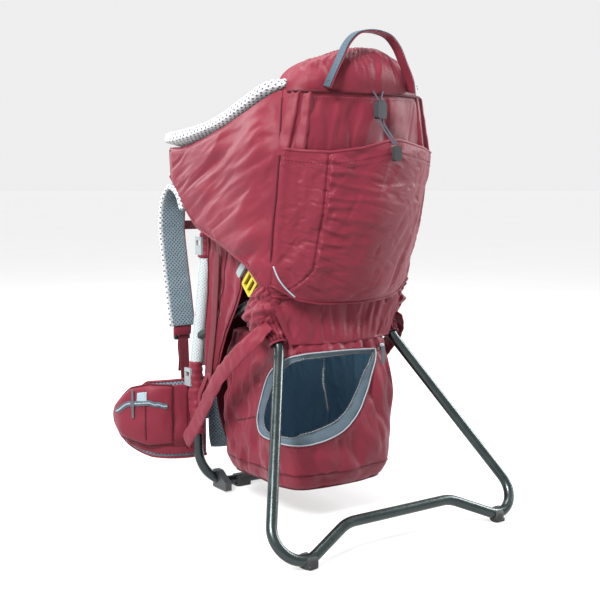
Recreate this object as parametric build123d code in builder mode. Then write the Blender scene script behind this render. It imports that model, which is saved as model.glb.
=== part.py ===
"""Child carrier backpack: bent tube frame, folding kickstand, fabric cockpit, storage bag and harness.

Millimetres. +X is the wearer's right-hand side seen from the rear, +Y points to the wearer's back,
+Z is up. The origin is on the floor, in the middle of the carrier's footprint.
"""

import os
from math import atan2, cos, degrees, hypot, radians, sin

from build123d import *

# ---------------------------------------------------------------- driving dimensions
TUBE_R = 8.0  # main frame and kickstand tube, 16 mm outside
SEAT_TUBE_R = 7.0
BRACE_R = 6.0

BASE_Y = 130.0  # base bar of the main frame
BASE_Z = 11.0
BASE_HALF = 122.0
LUMBAR_Y = 150.0  # where the uprights reach furthest forward
LUMBAR_Z = 210.0
LUMBAR_HALF = 116.0
TOP_Y = 122.0
TOP_Z = 575.0
TOP_HALF = 90.0

PIVOT_X = 110.0  # kickstand hinge
PIVOT_Y = -61.0
PIVOT_Z = 330.0
STAND_ANGLE = 33.3  # open kickstand, degrees behind the vertical
PIN_R = 4.0
RUNNING_GAP = 0.05

WALL = 5.0  # padded fabric wall of the cockpit
RIM_R = 10.0

BAG_HALF = 104.0
BAG_FRONT_Y = 92.0
BAG_REAR_Y = -115.0
BAG_BULGE = 16.0
BAG_FLOOR_Z = 50.0
BAG_TOP_Z = 283.0
BAG_WALL = 3.0

WEB = 20.0  # webbing width
WEB_T = 1.8  # webbing thickness

os.makedirs("parts", exist_ok=True)


# ---------------------------------------------------------------- helpers
def save(builder, name):
    """Label a finished piece and write its STEP file."""
    builder.part.label = name
    export_step(builder.part, f"parts/{name}.step")


def mirrored_x(builder):
    """The same piece on the other side of the centre plane."""
    with BuildPart() as other:
        add(mirror(builder.part, about=Plane.YZ))
    return other


def pair(builder):
    """The left piece and its mirror image, as one node of two solids."""
    with BuildPart() as both:
        add(builder.part)
        mirror(about=Plane.YZ)
    return both


def group(*builders):
    """Several pieces that stay apart, as one node."""
    with BuildPart() as node:
        for builder in builders:
            add(builder.part)
    return node


def upright_at(z, side=-1):
    """A point on an upright's centre line at height z."""
    if z >= LUMBAR_Z:
        t = (z - LUMBAR_Z) / (TOP_Z - LUMBAR_Z)
        x = LUMBAR_HALF + t * (TOP_HALF - LUMBAR_HALF)
        return Vector(side * x, LUMBAR_Y + t * (TOP_Y - LUMBAR_Y), z)
    t = (z - BASE_Z) / (LUMBAR_Z - BASE_Z)
    x = BASE_HALF + t * (LUMBAR_HALF - BASE_HALF)
    return Vector(side * x, BASE_Y + t * (LUMBAR_Y - BASE_Y), z)


def facing(origin, direction, x_dir=(1, 0, 0)):
    """A sketch plane at origin whose normal is direction."""
    return Plane(origin=origin, x_dir=x_dir, z_dir=direction)


def side_band(points, half_thickness, x_low, x_high):
    """A strap seen from the side: a band of constant thickness along a smooth line, x_low to x_high."""
    with BuildPart() as band:
        with BuildSketch(Plane.YZ.offset(x_low)):
            with BuildLine() as line:
                Spline(*points)
            trace(line.line, line_width=2 * half_thickness)
        extrude(amount=x_high - x_low)
    return band


def stand_point(x, s):
    """A point in the open kickstand's plane: x across, s down the leg from the hinge pin."""
    a = radians(STAND_ANGLE)
    return Vector(x, PIVOT_Y - s * sin(a), PIVOT_Z - s * cos(a))


# ---------------------------------------------------------------- main frame
def make_main_frame():
    corners = [
        (-4, TOP_Y, TOP_Z),
        (-TOP_HALF, TOP_Y, TOP_Z),
        (-LUMBAR_HALF, LUMBAR_Y, LUMBAR_Z),
        (-BASE_HALF, BASE_Y, BASE_Z),
        (BASE_HALF, BASE_Y, BASE_Z),
        (LUMBAR_HALF, LUMBAR_Y, LUMBAR_Z),
        (TOP_HALF, TOP_Y, TOP_Z),
        (4, TOP_Y, TOP_Z),
    ]
    with BuildPart() as frame:
        with BuildLine() as path:
            FilletPolyline(*corners, radius=[40, 300, 62, 62, 300, 40])
        with BuildSketch(facing(path.line @ 0, path.line % 0, (0, 0, 1))):
            Circle(TUBE_R)
        sweep(path=path.line)
    return frame


def make_ferrule():
    """The sleeve that joins the two tube ends in the middle of the top bar."""
    with BuildPart() as ferrule:
        with BuildSketch(Plane.YZ.offset(-20)):
            with Locations((TOP_Y, TOP_Z)):
                Circle(TUBE_R + 1.6)
                Circle(TUBE_R, mode=Mode.SUBTRACT)
        extrude(amount=40)
    return ferrule


def make_cross_brace(main_frame, z=328.0):
    """Round bar welded between the uprights, its ends coped to them."""
    end = upright_at(z, 1)
    with BuildPart() as brace:
        with BuildSketch(Plane.YZ.offset(-end.X)):
            with Locations((end.Y, z)):
                Circle(BRACE_R)
        extrude(amount=2 * end.X)
        add(main_frame.part, mode=Mode.SUBTRACT)
    return brace


SEAT_BEND = (112.0, -66.0, 357.0)
SEAT_TOP = (102.0, -118.0, 640.0)


def make_seat_frame(main_frame):
    """One bent tube: from the uprights back over the hinges, then up behind the child's head."""
    root = upright_at(264.0, 1)
    side = [(root.X, root.Y, root.Z), SEAT_BEND, SEAT_TOP]
    left = [(-x, y, z) for x, y, z in side]
    with BuildPart() as seat_frame:
        with BuildLine() as path:
            FilletPolyline(*left, *reversed(side), radius=[60, 45, 45, 60])
        with BuildSketch(facing(path.line @ 0, path.line % 0)):
            Circle(SEAT_TUBE_R)
        sweep(path=path.line)
        add(main_frame.part, mode=Mode.SUBTRACT)
    return seat_frame


def make_base_pads():
    """Rubber blocks clipped under the base bar; the carrier stands on them."""
    with BuildPart() as pads:
        with Locations((-38, BASE_Y, 9), (38, BASE_Y, 9)):
            Box(28, 22, 18)
        fillet(pads.edges().filter_by(Axis.Z), 5)
        with Locations((0, BASE_Y, BASE_Z)):
            Cylinder(TUBE_R, 200, rotation=(0, 90, 0), mode=Mode.SUBTRACT)
        with Locations((0, BASE_Y, 18 + 8 - 2)):
            Box(200, 12, 16, mode=Mode.SUBTRACT)
    return pads


# ---------------------------------------------------------------- hinge and kickstand
STAND_PLANE = Plane(
    origin=(0, PIVOT_Y, PIVOT_Z),
    x_dir=(1, 0, 0),
    z_dir=(0, cos(radians(STAND_ANGLE)), -sin(radians(STAND_ANGLE))),
)
STAND_LEG = (PIVOT_X, 62.0)
STAND_CORNER = (261.0, 423.0)
STAND_BAR = (98.0, 342.0)
STAND_CORNER_R = 40.0
CHEEK_T = 4.6
CHEEK_IN = TUBE_R + 0.4


def make_kickstand():
    right = [(PIVOT_X, -10.0), STAND_LEG, STAND_CORNER, STAND_BAR]
    left = [(-x, s) for x, s in right]
    with BuildPart() as stand:
        with BuildLine(STAND_PLANE) as path:
            FilletPolyline(*left, *reversed(right), radius=[60, STAND_CORNER_R, 60, 60, STAND_CORNER_R, 60])
        with BuildSketch(facing(path.line @ 0, path.line % 0)):
            Circle(TUBE_R)
        sweep(path=path.line)
        with Locations((0, PIVOT_Y, PIVOT_Z)):
            Cylinder(PIN_R + RUNNING_GAP, 300, rotation=(0, 90, 0), mode=Mode.SUBTRACT)
    return stand


def foot_place():
    """The lowest point of the kickstand's corner arc, as (x, s) in the stand's plane."""
    leg = Vector(STAND_CORNER[0] - STAND_LEG[0], STAND_CORNER[1] - STAND_LEG[1]).normalized()
    bar = Vector(STAND_BAR[0] - STAND_CORNER[0], STAND_BAR[1] - STAND_CORNER[1]).normalized()
    inward = (bar - leg).normalized()
    half_angle = acos_of(-(leg.dot(bar))) / 2
    centre = Vector(*STAND_CORNER) + inward * (STAND_CORNER_R / sin(half_angle))
    return centre.X, centre.Y + STAND_CORNER_R


def acos_of(value):
    return atan2((1 - value * value) ** 0.5, value)


def make_kickstand_feet(stand):
    x, s = foot_place()
    low = stand_point(x, s)
    with BuildPart() as feet:
        with Locations((-low.X, low.Y, 11), (low.X, low.Y, 11)):
            Box(24, 26, 22)
        fillet(feet.edges().filter_by(Axis.Z), 8)
        add(stand.part, mode=Mode.SUBTRACT)
    return feet


def make_cuff(side):
    """Elastic hem of the fabric sleeve, gripping the kickstand leg."""
    start = stand_point(side * PIVOT_X, 48.0)
    along = stand_point(side * PIVOT_X, 58.0) - start
    with BuildPart() as cuff:
        with BuildSketch(facing(start, along)):
            Circle(13)
            Circle(TUBE_R, mode=Mode.SUBTRACT)
        extrude(amount=10)
    return cuff


def make_bracket(seat_frame):
    """Left hinge bracket: two cheeks round the leg, a clamp block on the seat tube and a stop web."""
    a = radians(STAND_ANGLE)
    with BuildPart() as bracket:
        for x in (-PIVOT_X - CHEEK_IN - CHEEK_T, -PIVOT_X + CHEEK_IN):
            with BuildSketch(Plane.YZ.offset(x)):
                with Locations((PIVOT_Y, PIVOT_Z)):
                    Circle(13)
                with Locations((PIVOT_Y, PIVOT_Z + 15)):
                    Rectangle(26, 30)
            extrude(amount=CHEEK_T)
        with Locations((-PIVOT_X, PIVOT_Y, PIVOT_Z + 30)):
            Box(2 * (CHEEK_IN + CHEEK_T), 34, 32)
        with BuildSketch(Plane.YZ.offset(-PIVOT_X - CHEEK_IN)):
            web = stand_point(0, 9.0) + Vector(0, -cos(a), sin(a)) * (TUBE_R + 0.4 + 2.0)
            with Locations(Location((web.Y, web.Z), 90 - STAND_ANGLE)):
                Rectangle(6, 4)
        extrude(amount=2 * CHEEK_IN)
        with Locations((-PIVOT_X, PIVOT_Y, PIVOT_Z)):
            Cylinder(PIN_R, 60, rotation=(0, 90, 0), mode=Mode.SUBTRACT)
        add(seat_frame.part, mode=Mode.SUBTRACT)
    return bracket


def make_hinge_pins():
    reach = CHEEK_IN + CHEEK_T
    with BuildPart() as pins:
        for side in (-1, 1):
            with Locations((side * PIVOT_X, PIVOT_Y, PIVOT_Z)):
                Cylinder(PIN_R, 2 * reach, rotation=(0, 90, 0))
            for end in (-1, 1):
                with Locations((side * PIVOT_X + end * (reach + 1.2), PIVOT_Y, PIVOT_Z)):
                    Cylinder(6.5, 2.4, rotation=(0, 90, 0))
    return pins


# ---------------------------------------------------------------- cockpit
# height: rear half width, rear corner y, rear centre y, front half width, front y
COCKPIT_SECTIONS = [
    (330.0, 138.0, -84.0, -112.0, 146.0, 40.0),
    (400.0, 141.0, -101.0, -134.0, 152.0, 92.0),
    (490.0, 144.0, -122.0, -160.0, 158.0, 147.0),
    (570.0, 145.0, -138.0, -176.0, 158.0, 154.0),
    (680.0, 116.0, -146.0, -174.0, 140.0, 158.0),
]


def cockpit_face(section, inset):
    z, rear_half, corner_y, centre_y, front_half, front_y = section
    with BuildSketch(Plane.XY.offset(z)) as face:
        with BuildLine():
            rear_left = (-rear_half + inset, corner_y + inset)
            rear_right = (rear_half - inset, corner_y + inset)
            front_right = (front_half - inset, front_y - inset)
            front_left = (-front_half + inset, front_y - inset)
            ThreePointArc(rear_left, (0, centre_y + inset), rear_right)
            Line(rear_right, front_right)
            Line(front_right, front_left)
            Line(front_left, rear_left)
        make_face()
    return face.sketch


def cockpit_solid(inset):
    with BuildPart() as solid:
        loft([cockpit_face(section, inset) for section in COCKPIT_SECTIONS])
    return solid


# side view (y, z): the rim along the top, the sleeve corners and hem along the bottom
RIM_REAR = (-118.0, 664.0)
RIM_MID = (-9.0, 607.0)
RIM_FRONT = (112.0, 577.0)
COCKPIT_SIDE = [
    (-220.0, 653.0),
    (-121.0, 653.0),
    RIM_MID,
    RIM_FRONT,
    (190.0, 577.0),
    (135.0, 492.0),
    (116.0, 470.0),
    (24.0, 434.0),
    (-70.0, 393.0),
    (-95.0, 352.0),
    (-220.0, 346.0),
]


def make_cockpit_shell():
    outer = cockpit_solid(0)
    inner = cockpit_solid(WALL)
    with BuildPart() as shell:
        add(outer.part)
        add(inner.part, mode=Mode.SUBTRACT)
        with BuildSketch(Plane.YZ.offset(-250)):
            with BuildLine():
                Polyline(*COCKPIT_SIDE, close=True)
            make_face()
        extrude(amount=500, mode=Mode.INTERSECT)
    return shell


def make_rim_padding():
    """Soft roll along the cockpit's two sides and front edge."""
    points = [
        (-124.0, -106.0, 660.0),
        (-140.0, -9.0, 618.5),
        (-153.0, 144.0, 588.0),
        (153.0, 144.0, 588.0),
        (140.0, -9.0, 618.5),
        (124.0, -106.0, 660.0),
    ]
    with BuildPart() as rim:
        with BuildLine() as path:
            FilletPolyline(*points, radius=[120, 28, 28, 120])
        with BuildSketch(facing(path.line @ 0, path.line % 0)):
            Circle(RIM_R)
        sweep(path=path.line)
    return rim


def make_head_dome():
    """Gathered pouch over the head rest that holds the folded sun canopy."""
    with BuildPart() as dome:
        with BuildSketch(Plane.XY.offset(655)) as base:
            with BuildLine():
                ThreePointArc((-117, -140), (0, -174), (117, -140))
                Line((117, -140), (112, -112))
                Line((112, -112), (-112, -112))
                Line((-112, -112), (-117, -140))
            make_face()
        with BuildSketch(Plane.XY.offset(694)) as middle:
            with BuildLine():
                ThreePointArc((-84, -142), (0, -182), (84, -142))
                Line((84, -142), (80, -110))
                Line((80, -110), (-80, -110))
                Line((-80, -110), (-84, -142))
            make_face()
        with BuildSketch(Plane.XY.offset(716)) as top:
            with BuildLine():
                ThreePointArc((-42, -145), (0, -166), (42, -145))
                Line((42, -145), (40, -122))
                Line((40, -122), (-40, -122))
                Line((-40, -122), (-42, -145))
            make_face()
        loft([base.sketch, middle.sketch, top.sketch], ruled=True)
    return dome


def make_head_rest():
    """Padded panel inside the cockpit behind the child's head."""
    with BuildPart() as rest:
        with Locations((0, -100, 578)):
            Box(150, 16, 130)
        fillet(rest.edges().filter_by(Axis.Y), 30)
    return rest


def make_chin_pad():
    """Soft pad over the front of the cockpit that the child's chin rests on."""
    with BuildPart() as pad:
        with Locations((0, 97, 556)):
            Box(150, 20, 56)
        fillet(pad.edges().filter_by(Axis.X), 9)
    return pad


def make_front_wall():
    """Fabric wall between the child and the back panel, from the floor of the bag up to the rim."""
    with BuildPart() as wall:
        with BuildSketch(Plane.XZ.offset(-106)):
            with BuildLine():
                Polyline((-72, 62), (72, 62), (96, 140), (98, 300), (84, 470), (-84, 470), (-98, 300), (-96, 140),
                         close=True)
            make_face()
        extrude(amount=-4)
    return wall


def cockpit_rear(z):
    """Half width, corner y and centre y of the cockpit's rear wall at height z."""
    sections = COCKPIT_SECTIONS
    for low, high in zip(sections, sections[1:]):
        if z <= high[0]:
            break
    t = (z - low[0]) / (high[0] - low[0])
    return tuple(low[i] + t * (high[i] - low[i]) for i in (1, 2, 3))


# height, half width, how far the pocket's side and centre stand off the cockpit's rear wall
POCKET_LEVELS = [
    (342.0, 104.0, 10.0, 22.0),
    (368.0, 127.0, 13.0, 35.0),
    (470.0, 137.0, 12.0, 40.0),
    (550.0, 138.0, 12.0, 34.0),
    (572.0, 137.0, 12.0, 29.0),
]
POCKET_WALL = 3.5
POCKET_GAP = 3.5


POCKET_SEAM_X = -86.0


def make_rear_pocket():
    """Big open-topped pocket on the cockpit's rear wall: a main panel and two side panels, sewn together."""
    with BuildPart() as pocket:
        for inset, mode in ((0.0, Mode.ADD), (POCKET_WALL, Mode.SUBTRACT)):
            faces = []
            for i, (z, half, side_off, centre_off) in enumerate(POCKET_LEVELS):
                rear_half, corner_y, centre_y = cockpit_rear(z)
                sag = corner_y - centre_y
                edge_y = corner_y - sag * (1 - (half / rear_half) ** 2) - POCKET_GAP
                inner_y = centre_y - POCKET_GAP
                open_y = 2 * inset
                cut = inset + (1.0 if inset else 0.0)
                level = z
                if inset and i == 0:
                    level = z + POCKET_WALL
                if inset and i == len(POCKET_LEVELS) - 1:
                    level = z + 2
                with BuildSketch(Plane.XY.offset(level)) as face:
                    with BuildLine():
                        front_left = (-half + inset, edge_y + open_y)
                        front_right = (half - inset, edge_y + open_y)
                        rear_left = (-half + inset, edge_y - side_off + inset)
                        rear_right = (half - inset, edge_y - side_off + inset)
                        ThreePointArc(front_left, (0, inner_y + open_y), front_right)
                        Line(front_right, rear_right)
                        ThreePointArc(rear_right, (0, inner_y - centre_off + cut), rear_left)
                        Line(rear_left, front_left)
                    make_face()
                faces.append(face.sketch)
            loft(faces, mode=mode)
        for x in (POCKET_SEAM_X, -POCKET_SEAM_X):
            split(bisect_by=Plane.YZ.offset(x), keep=Keep.BOTH)
    return pocket


def make_sleeve(seat_frame, bracket):
    """Left fabric sleeve that hides the hinge; its mouth leaves the leg room to fold."""
    with BuildPart() as sleeve:
        for inset, low, high, mode in ((0.0, 298.0, 340.5, Mode.ADD), (3.0, 297.0, 341.5, Mode.SUBTRACT)):
            with BuildSketch(Plane.XY.offset(low)) as mouth:
                with Locations((-111, -64)):
                    RectangleRounded(44 - 2 * inset, 80 - 2 * inset, 14 - inset)
            with BuildSketch(Plane.XY.offset(high)) as top:
                with Locations((-116, -64)):
                    RectangleRounded(56 - 2 * inset, 82 - 2 * inset, 18 - inset)
            loft([mouth.sketch, top.sketch], mode=mode)
        add(seat_frame.part, mode=Mode.SUBTRACT)
        with Locations((-117, -20, 336)):
            Box(30, 16, 30, mode=Mode.SUBTRACT)
    return sleeve


# ---------------------------------------------------------------- seat and child harness
SEAT_Z = 318.0


def make_seat_pad():
    """Saddle: wide behind, narrow between the child's legs."""
    with BuildPart() as pad:
        with BuildSketch(Plane.XY.offset(SEAT_Z - 22)):
            with BuildLine():
                Polyline((-86, -52), (-86, 6), (-48, 40), (-48, 84), (48, 84), (48, 40), (86, 6), (86, -52), close=True)
            make_face()
        extrude(amount=22)
        fillet(pad.edges().filter_by(Axis.Z), 12)
        fillet(pad.faces().sort_by(Axis.Z)[-1].edges(), 6)
    return pad


def make_seat_board():
    """Stiff board under the seat pad."""
    with BuildPart() as board:
        with BuildSketch(Plane.XY.offset(SEAT_Z - 26)):
            with BuildLine():
                Polyline((-80, -48), (-80, 4), (-42, 38), (-42, 78), (42, 78), (42, 38), (80, 4), (80, -48), close=True)
            make_face()
        extrude(amount=3.8)
    return board


def make_harness_pads():
    """Child's padded shoulder straps, lying against the cockpit's rear."""
    line = [(-76.0, 500.0), (-60.0, 494.0), (-48.0, 462.0), (-40.0, 420.0), (-22.0, 388.0)]
    with BuildPart() as pads:
        for low in (-62.0, 22.0):
            add(side_band(line, 5.0, low, low + 40.0).part)
    return pads


def make_harness_buckle():
    """Centre buckle of the child's harness on its crotch strap."""
    with BuildPart() as buckle:
        with Locations((0, -4, 372)):
            Box(46, 14, 46)
        fillet(buckle.edges().filter_by(Axis.Y), 10)
        with Locations((0, 3, 372)):
            Cylinder(8.4, 6, rotation=(90, 0, 0), mode=Mode.SUBTRACT)
    return buckle


def make_harness_button():
    with BuildPart() as button:
        with Locations((0, 3.4, 372)):
            Cylinder(8, 2.8, rotation=(90, 0, 0))
    return button


def make_crotch_strap():
    return side_band([(-4.0, 348.0), (-4.0, 335.0), (0.0, SEAT_Z + 0.9)], WEB_T / 2, -15.0, 15.0)


# ---------------------------------------------------------------- grab handle and drawcord
HANDLE_X = 78.0
HANDLE_Y = -174.0
HANDLE_Z = 661.0


def make_grab_handle():
    """Arched webbing handle sewn to the dome's rear seam."""
    with BuildPart() as handle:
        with BuildLine(Plane.XZ.offset(-HANDLE_Y)) as path:
            FilletPolyline((-HANDLE_X, HANDLE_Z), (-40, 742), (40, 742), (HANDLE_X, HANDLE_Z), radius=34)
        with BuildSketch(facing(path.line @ 0, path.line % 0, (0, 1, 0))):
            Rectangle(20, 3.6)
        sweep(path=path.line)
    return handle


CORD_R = 1.4
CORD_LOCK = (8.0, -186.0, 628.0)


def make_drawcord():
    """Two strands of the pocket's drawcord below the cord lock."""
    x, y, z = CORD_LOCK
    with BuildPart() as cord:
        for dx in (-3.2, 3.2):
            strand = [
                (x + dx, y, z - 12.8),
                (x + dx + 2, y - 6, z - 24),
                (x + dx * 0.9 + 5, y - 17, z - 38),
                (x + dx * 0.75 + 8, y - 26, z - 50),
            ]
            with BuildLine() as path:
                FilletPolyline(*strand, radius=[60, 60])
            with BuildSketch(facing(path.line @ 0, path.line % 0)):
                Circle(CORD_R)
            sweep(path=path.line)
    return cord


def make_cord_lock():
    x, y, z = CORD_LOCK
    with BuildPart() as lock:
        with Locations((x, y, z)):
            Box(16, 11, 24)
        fillet(lock.edges().filter_by(Axis.Y), 4)
        with Locations((x, y, z + 8)):
            Box(10, 6, 14, mode=Mode.SUBTRACT)
    return lock


def make_cord_lock_button():
    x, y, z = CORD_LOCK
    with BuildPart() as button:
        with Locations((x, y, z + 10)):
            Box(9.6, 5.6, 10)
    return button


def make_cord_end():
    """Moulded tab that holds the two strand ends."""
    x, y, z = CORD_LOCK
    with BuildPart() as tab:
        with Locations((x + 9.5, y - 27.5, z - 63)):
            Box(13, 7, 22)
        fillet(tab.edges().filter_by(Axis.Y), 4)
    return tab


# ---------------------------------------------------------------- storage bag
def bag_face(z, inset, half, front_y, rear_y, bulge):
    with BuildSketch(Plane.XY.offset(z)) as face:
        with BuildLine():
            rear_left = (-half + inset, rear_y + inset)
            rear_right = (half - inset, rear_y + inset)
            ThreePointArc(rear_left, (0, rear_y - bulge + inset), rear_right)
            Line(rear_right, (half - 4 - inset, front_y - inset))
            Line((half - 4 - inset, front_y - inset), (-half + 4 + inset, front_y - inset))
            Line((-half + 4 + inset, front_y - inset), rear_left)
        make_face()
    return face.sketch


BAG_LEVELS = [
    (BAG_FLOOR_Z, 84.0, 78.0, -98.0, 10.0),
    (80.0, BAG_HALF - 5, BAG_FRONT_Y - 4, -113.0, BAG_BULGE),
    (180.0, BAG_HALF, BAG_FRONT_Y, BAG_REAR_Y, BAG_BULGE),
    (245.0, BAG_HALF - 4, BAG_FRONT_Y - 2, -112.0, 14.0),
    (BAG_TOP_Z, 90.0, BAG_FRONT_Y - 6, -104.0, 12.0),
]


def make_storage_bag():
    """Hollow bag under the seat, its curved zip open on the rear and round the left corner."""
    with BuildPart() as bag:
        for inset, mode in ((0.0, Mode.ADD), (BAG_WALL, Mode.SUBTRACT)):
            faces = []
            for i, (z, half, front_y, rear_y, bulge) in enumerate(BAG_LEVELS):
                level = z + (inset if i == 0 else -inset if i == len(BAG_LEVELS) - 1 else 0)
                faces.append(bag_face(level, inset, half, front_y, rear_y, bulge))
            loft(faces, mode=mode)
        with BuildSketch(Plane.XZ.offset(90)):
            with BuildLine():
                Polyline((-130, 262), (62, 262), (56, 226), (36, 184), (0, 150), (-52, 132), (-130, 134), close=True)
            make_face()
        extrude(amount=60, mode=Mode.SUBTRACT)
        with BuildSketch(Plane.YZ.offset(-130)):
            with BuildLine():
                Polyline((-91, 262), (-78, 254), (-52, 200), (-44, 140), (-91, 132), close=True)
            make_face()
        extrude(amount=60, mode=Mode.SUBTRACT)
    return bag


ZIP_Z = 266.0
BAG_ZIP_HALF = 86.0
BAG_ZIP_SAG = 11.6
BAG_ZIP_R = (BAG_ZIP_HALF**2 + BAG_ZIP_SAG**2) / (2 * BAG_ZIP_SAG)
BAG_ZIP_CENTRE_Y = -126.0 + BAG_ZIP_R


def make_bag_zip():
    """Coil and tape along the straight top run of the bag's zip."""
    ends_y = BAG_ZIP_CENTRE_Y - BAG_ZIP_R + BAG_ZIP_SAG
    with BuildPart() as zip_track:
        with BuildSketch(Plane.XY.offset(ZIP_Z - 3)):
            with BuildLine():
                ThreePointArc((-BAG_ZIP_HALF, ends_y), (0, ends_y - BAG_ZIP_SAG), (BAG_ZIP_HALF, ends_y))
                Line((BAG_ZIP_HALF, ends_y), (BAG_ZIP_HALF, ends_y + 1.5))
                ThreePointArc((BAG_ZIP_HALF, ends_y + 1.5), (0, ends_y + 1.5 - BAG_ZIP_SAG),
                              (-BAG_ZIP_HALF, ends_y + 1.5))
                Line((-BAG_ZIP_HALF, ends_y + 1.5), (-BAG_ZIP_HALF, ends_y))
            make_face()
        extrude(amount=6)
    return zip_track


def make_zip_slider():
    """Slider of the bag's zip, parked at the right end of its straight run."""
    x = 64.0
    y = BAG_ZIP_CENTRE_Y - (BAG_ZIP_R ** 2 - x * x) ** 0.5
    with BuildPart() as slider:
        with Locations((x, y - 1.6 - 2.6, ZIP_Z)):
            Box(9, 5, 12)
        fillet(slider.edges().filter_by(Axis.Y), 3)
        with Locations((x, y - 1.6 - 2.6 - 3.4, ZIP_Z + 2)):
            Box(3, 2, 4)
    return slider


def make_zip_pull():
    """Pull tab hanging from the slider."""
    x = 64.0
    y = BAG_ZIP_CENTRE_Y - (BAG_ZIP_R ** 2 - x * x) ** 0.5 - 1.6 - 2.6 - 4.6
    with BuildPart() as pull:
        with Locations((x, y - 1.1, ZIP_Z - 12.6)):
            Box(6.5, 1.8, 28.8)
        fillet(pull.edges().filter_by(Axis.Y), 2.5)
    return pull


def make_stand_clips(main_frame):
    """Moulded cradles on the base bar that the folded kickstand's cross bar lies against."""
    with BuildPart() as clips:
        with Locations((-84, 119, 18), (84, 119, 18)):
            Box(12, 42, 30)
        with Locations((0, PIVOT_Y, PIVOT_Z)):
            Cylinder(hypot(STAND_BAR[1], 0) + TUBE_R + 0.6, 300, rotation=(0, 90, 0), mode=Mode.SUBTRACT)
        add(main_frame.part, mode=Mode.SUBTRACT)
    return clips


# ---------------------------------------------------------------- wearer's back system
BACK_LEAN = Vector(0, TOP_Y - LUMBAR_Y, TOP_Z - LUMBAR_Z).normalized()
BACK_OUT = Vector(0, BACK_LEAN.Z, -BACK_LEAN.Y)


def back_plane(z, off):
    """A plane parallel to the uprights, off in front of their centre line at height z."""
    at = upright_at(z)
    return Plane(origin=Vector(0, at.Y, z) + BACK_OUT * off, x_dir=(-1, 0, 0), z_dir=BACK_OUT)


def make_back_mesh():
    """Stretched spacer mesh in front of the uprights."""
    with BuildPart() as mesh:
        with BuildSketch(back_plane(306, 8.6)):
            RectangleRounded(226, 190, 10)
        extrude(amount=6)
    return mesh


def make_mesh_buckles():
    """Ladder locks that tension the mesh round the uprights."""
    with BuildPart() as locks:
        for side in (-1, 1):
            for z in (418.0, 196.0):
                at = upright_at(z, side)
                with Locations((at.X + side * 12.5, at.Y + 4, z)):
                    Box(4, 20, 30)
                    with Locations((0, 0, 5)):
                        Box(6, 12, 8, mode=Mode.SUBTRACT)
    return locks


def make_frame_sleeve(side):
    """Fabric tunnels over the exposed runs of one upright."""
    with BuildPart() as sleeve:
        for low, high in ((436.0, 500.0), (100.0, 176.0)):
            start = upright_at(low, side)
            end = upright_at(high, side)
            with BuildSketch(facing(start, end - start)):
                Circle(TUBE_R + 4)
                Circle(TUBE_R + 0.5, mode=Mode.SUBTRACT)
            extrude(amount=(end - start).length)
    return sleeve


def make_length_track():
    """Webbing ladder down the middle of the back that sets the back length."""
    with BuildPart() as track:
        with BuildSketch(back_plane(494, TUBE_R + 2.2)):
            Rectangle(44, 160)
        extrude(amount=4)
    return track


def make_yoke():
    """Padded yoke carrying the shoulder straps; it climbs the ladder to suit the wearer."""
    with BuildPart() as yoke:
        with BuildSketch(back_plane(466, 15.2)):
            RectangleRounded(150, 74, 16)
        extrude(amount=14)
        fillet(yoke.faces().sort_by(Axis.Y)[-1].edges(), 4)
    return yoke


STRAP_LINE = [
    (163.0, 478.0),
    (180.0, 505.0),
    (207.0, 515.0),
    (231.0, 492.0),
    (239.0, 446.0),
    (231.0, 395.0),
    (218.0, 335.0),
    (206.0, 276.0),
]
STRAP_T = 12.0


def make_shoulder_strap():
    return side_band(STRAP_LINE, STRAP_T / 2, -134.0, -77.0)


def make_strap_buckle():
    """Ladder lock at the strap's lower end."""
    with BuildPart() as buckle:
        with Locations((-106, 216, 262)):
            Box(30, 5, 22)
        with Locations((-106, 216, 260)):
            Box(19, 8, 5, mode=Mode.SUBTRACT)
        fillet(buckle.edges().filter_by(Axis.Y), 2)
    return buckle


def make_strap_webbing():
    """Adjusting webbing from the strap's end down to the hip belt."""
    return side_band([(209.5, 262.0), (206.0, 210.0), (200.0, 160.0), (194.0, 122.0)], WEB_T / 2, -115.0, -97.0)


def make_lifter_buckle():
    """Ladder lock on top of the strap where the load lifter passes."""
    with BuildPart() as buckle:
        with BuildSketch(Plane(origin=(-106, 196, 524.4), x_dir=(1, 0, 0), z_dir=(0, 0, 1))):
            RectangleRounded(28, 20, 3)
            with Locations((0, -3), (0, 4)):
                Rectangle(20, 3.6, mode=Mode.SUBTRACT)
        extrude(amount=4)
    return buckle


def make_lifter_webbing():
    return side_band([(190.0, 530.0), (178.0, 546.0), (162.5, 562.0)], WEB_T / 2, -114.0, -98.0)


STERNUM_Y = 248.0
STERNUM_Z = 448.0


def make_sternum_sliders():
    with BuildPart() as sliders:
        with Locations((-102, STERNUM_Y + 1.2, STERNUM_Z), (102, STERNUM_Y + 1.2, STERNUM_Z)):
            Box(20, 4.4, 26)
        fillet(sliders.edges().filter_by(Axis.Y), 3)
    return sliders


def webbing_strip(x_low, x_high, y, z, width):
    with BuildPart() as strip:
        with Locations(((x_low + x_high) / 2, y, z)):
            Box(x_high - x_low, WEB_T, width)
    return strip


def buckle_pair(y, z, width, height, depth):
    """A side-release buckle: the socket on the left, the two-pronged plug on the right."""
    with BuildPart() as socket:
        with Locations((-width / 2, y, z)):
            Box(width, depth, height)
        fillet(socket.edges().filter_by(Axis.Y), 3)
        with Locations((-width * 0.3, y, z)):
            Box(width * 0.6 + 0.2, depth - 4, height - 6, mode=Mode.SUBTRACT)
    with BuildPart() as plug:
        with Locations((width * 0.3 + 0.5, y, z)):
            Box(width * 0.6, depth, height)
        fillet(plug.edges().filter_by(Axis.Y), 3)
        for dz in (-0.26, 0.26):
            with Locations((-width * 0.25, y, z + dz * height)):
                Box(width * 0.5 + 2, depth - 4.6, height * 0.2)
    return socket, plug


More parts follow.
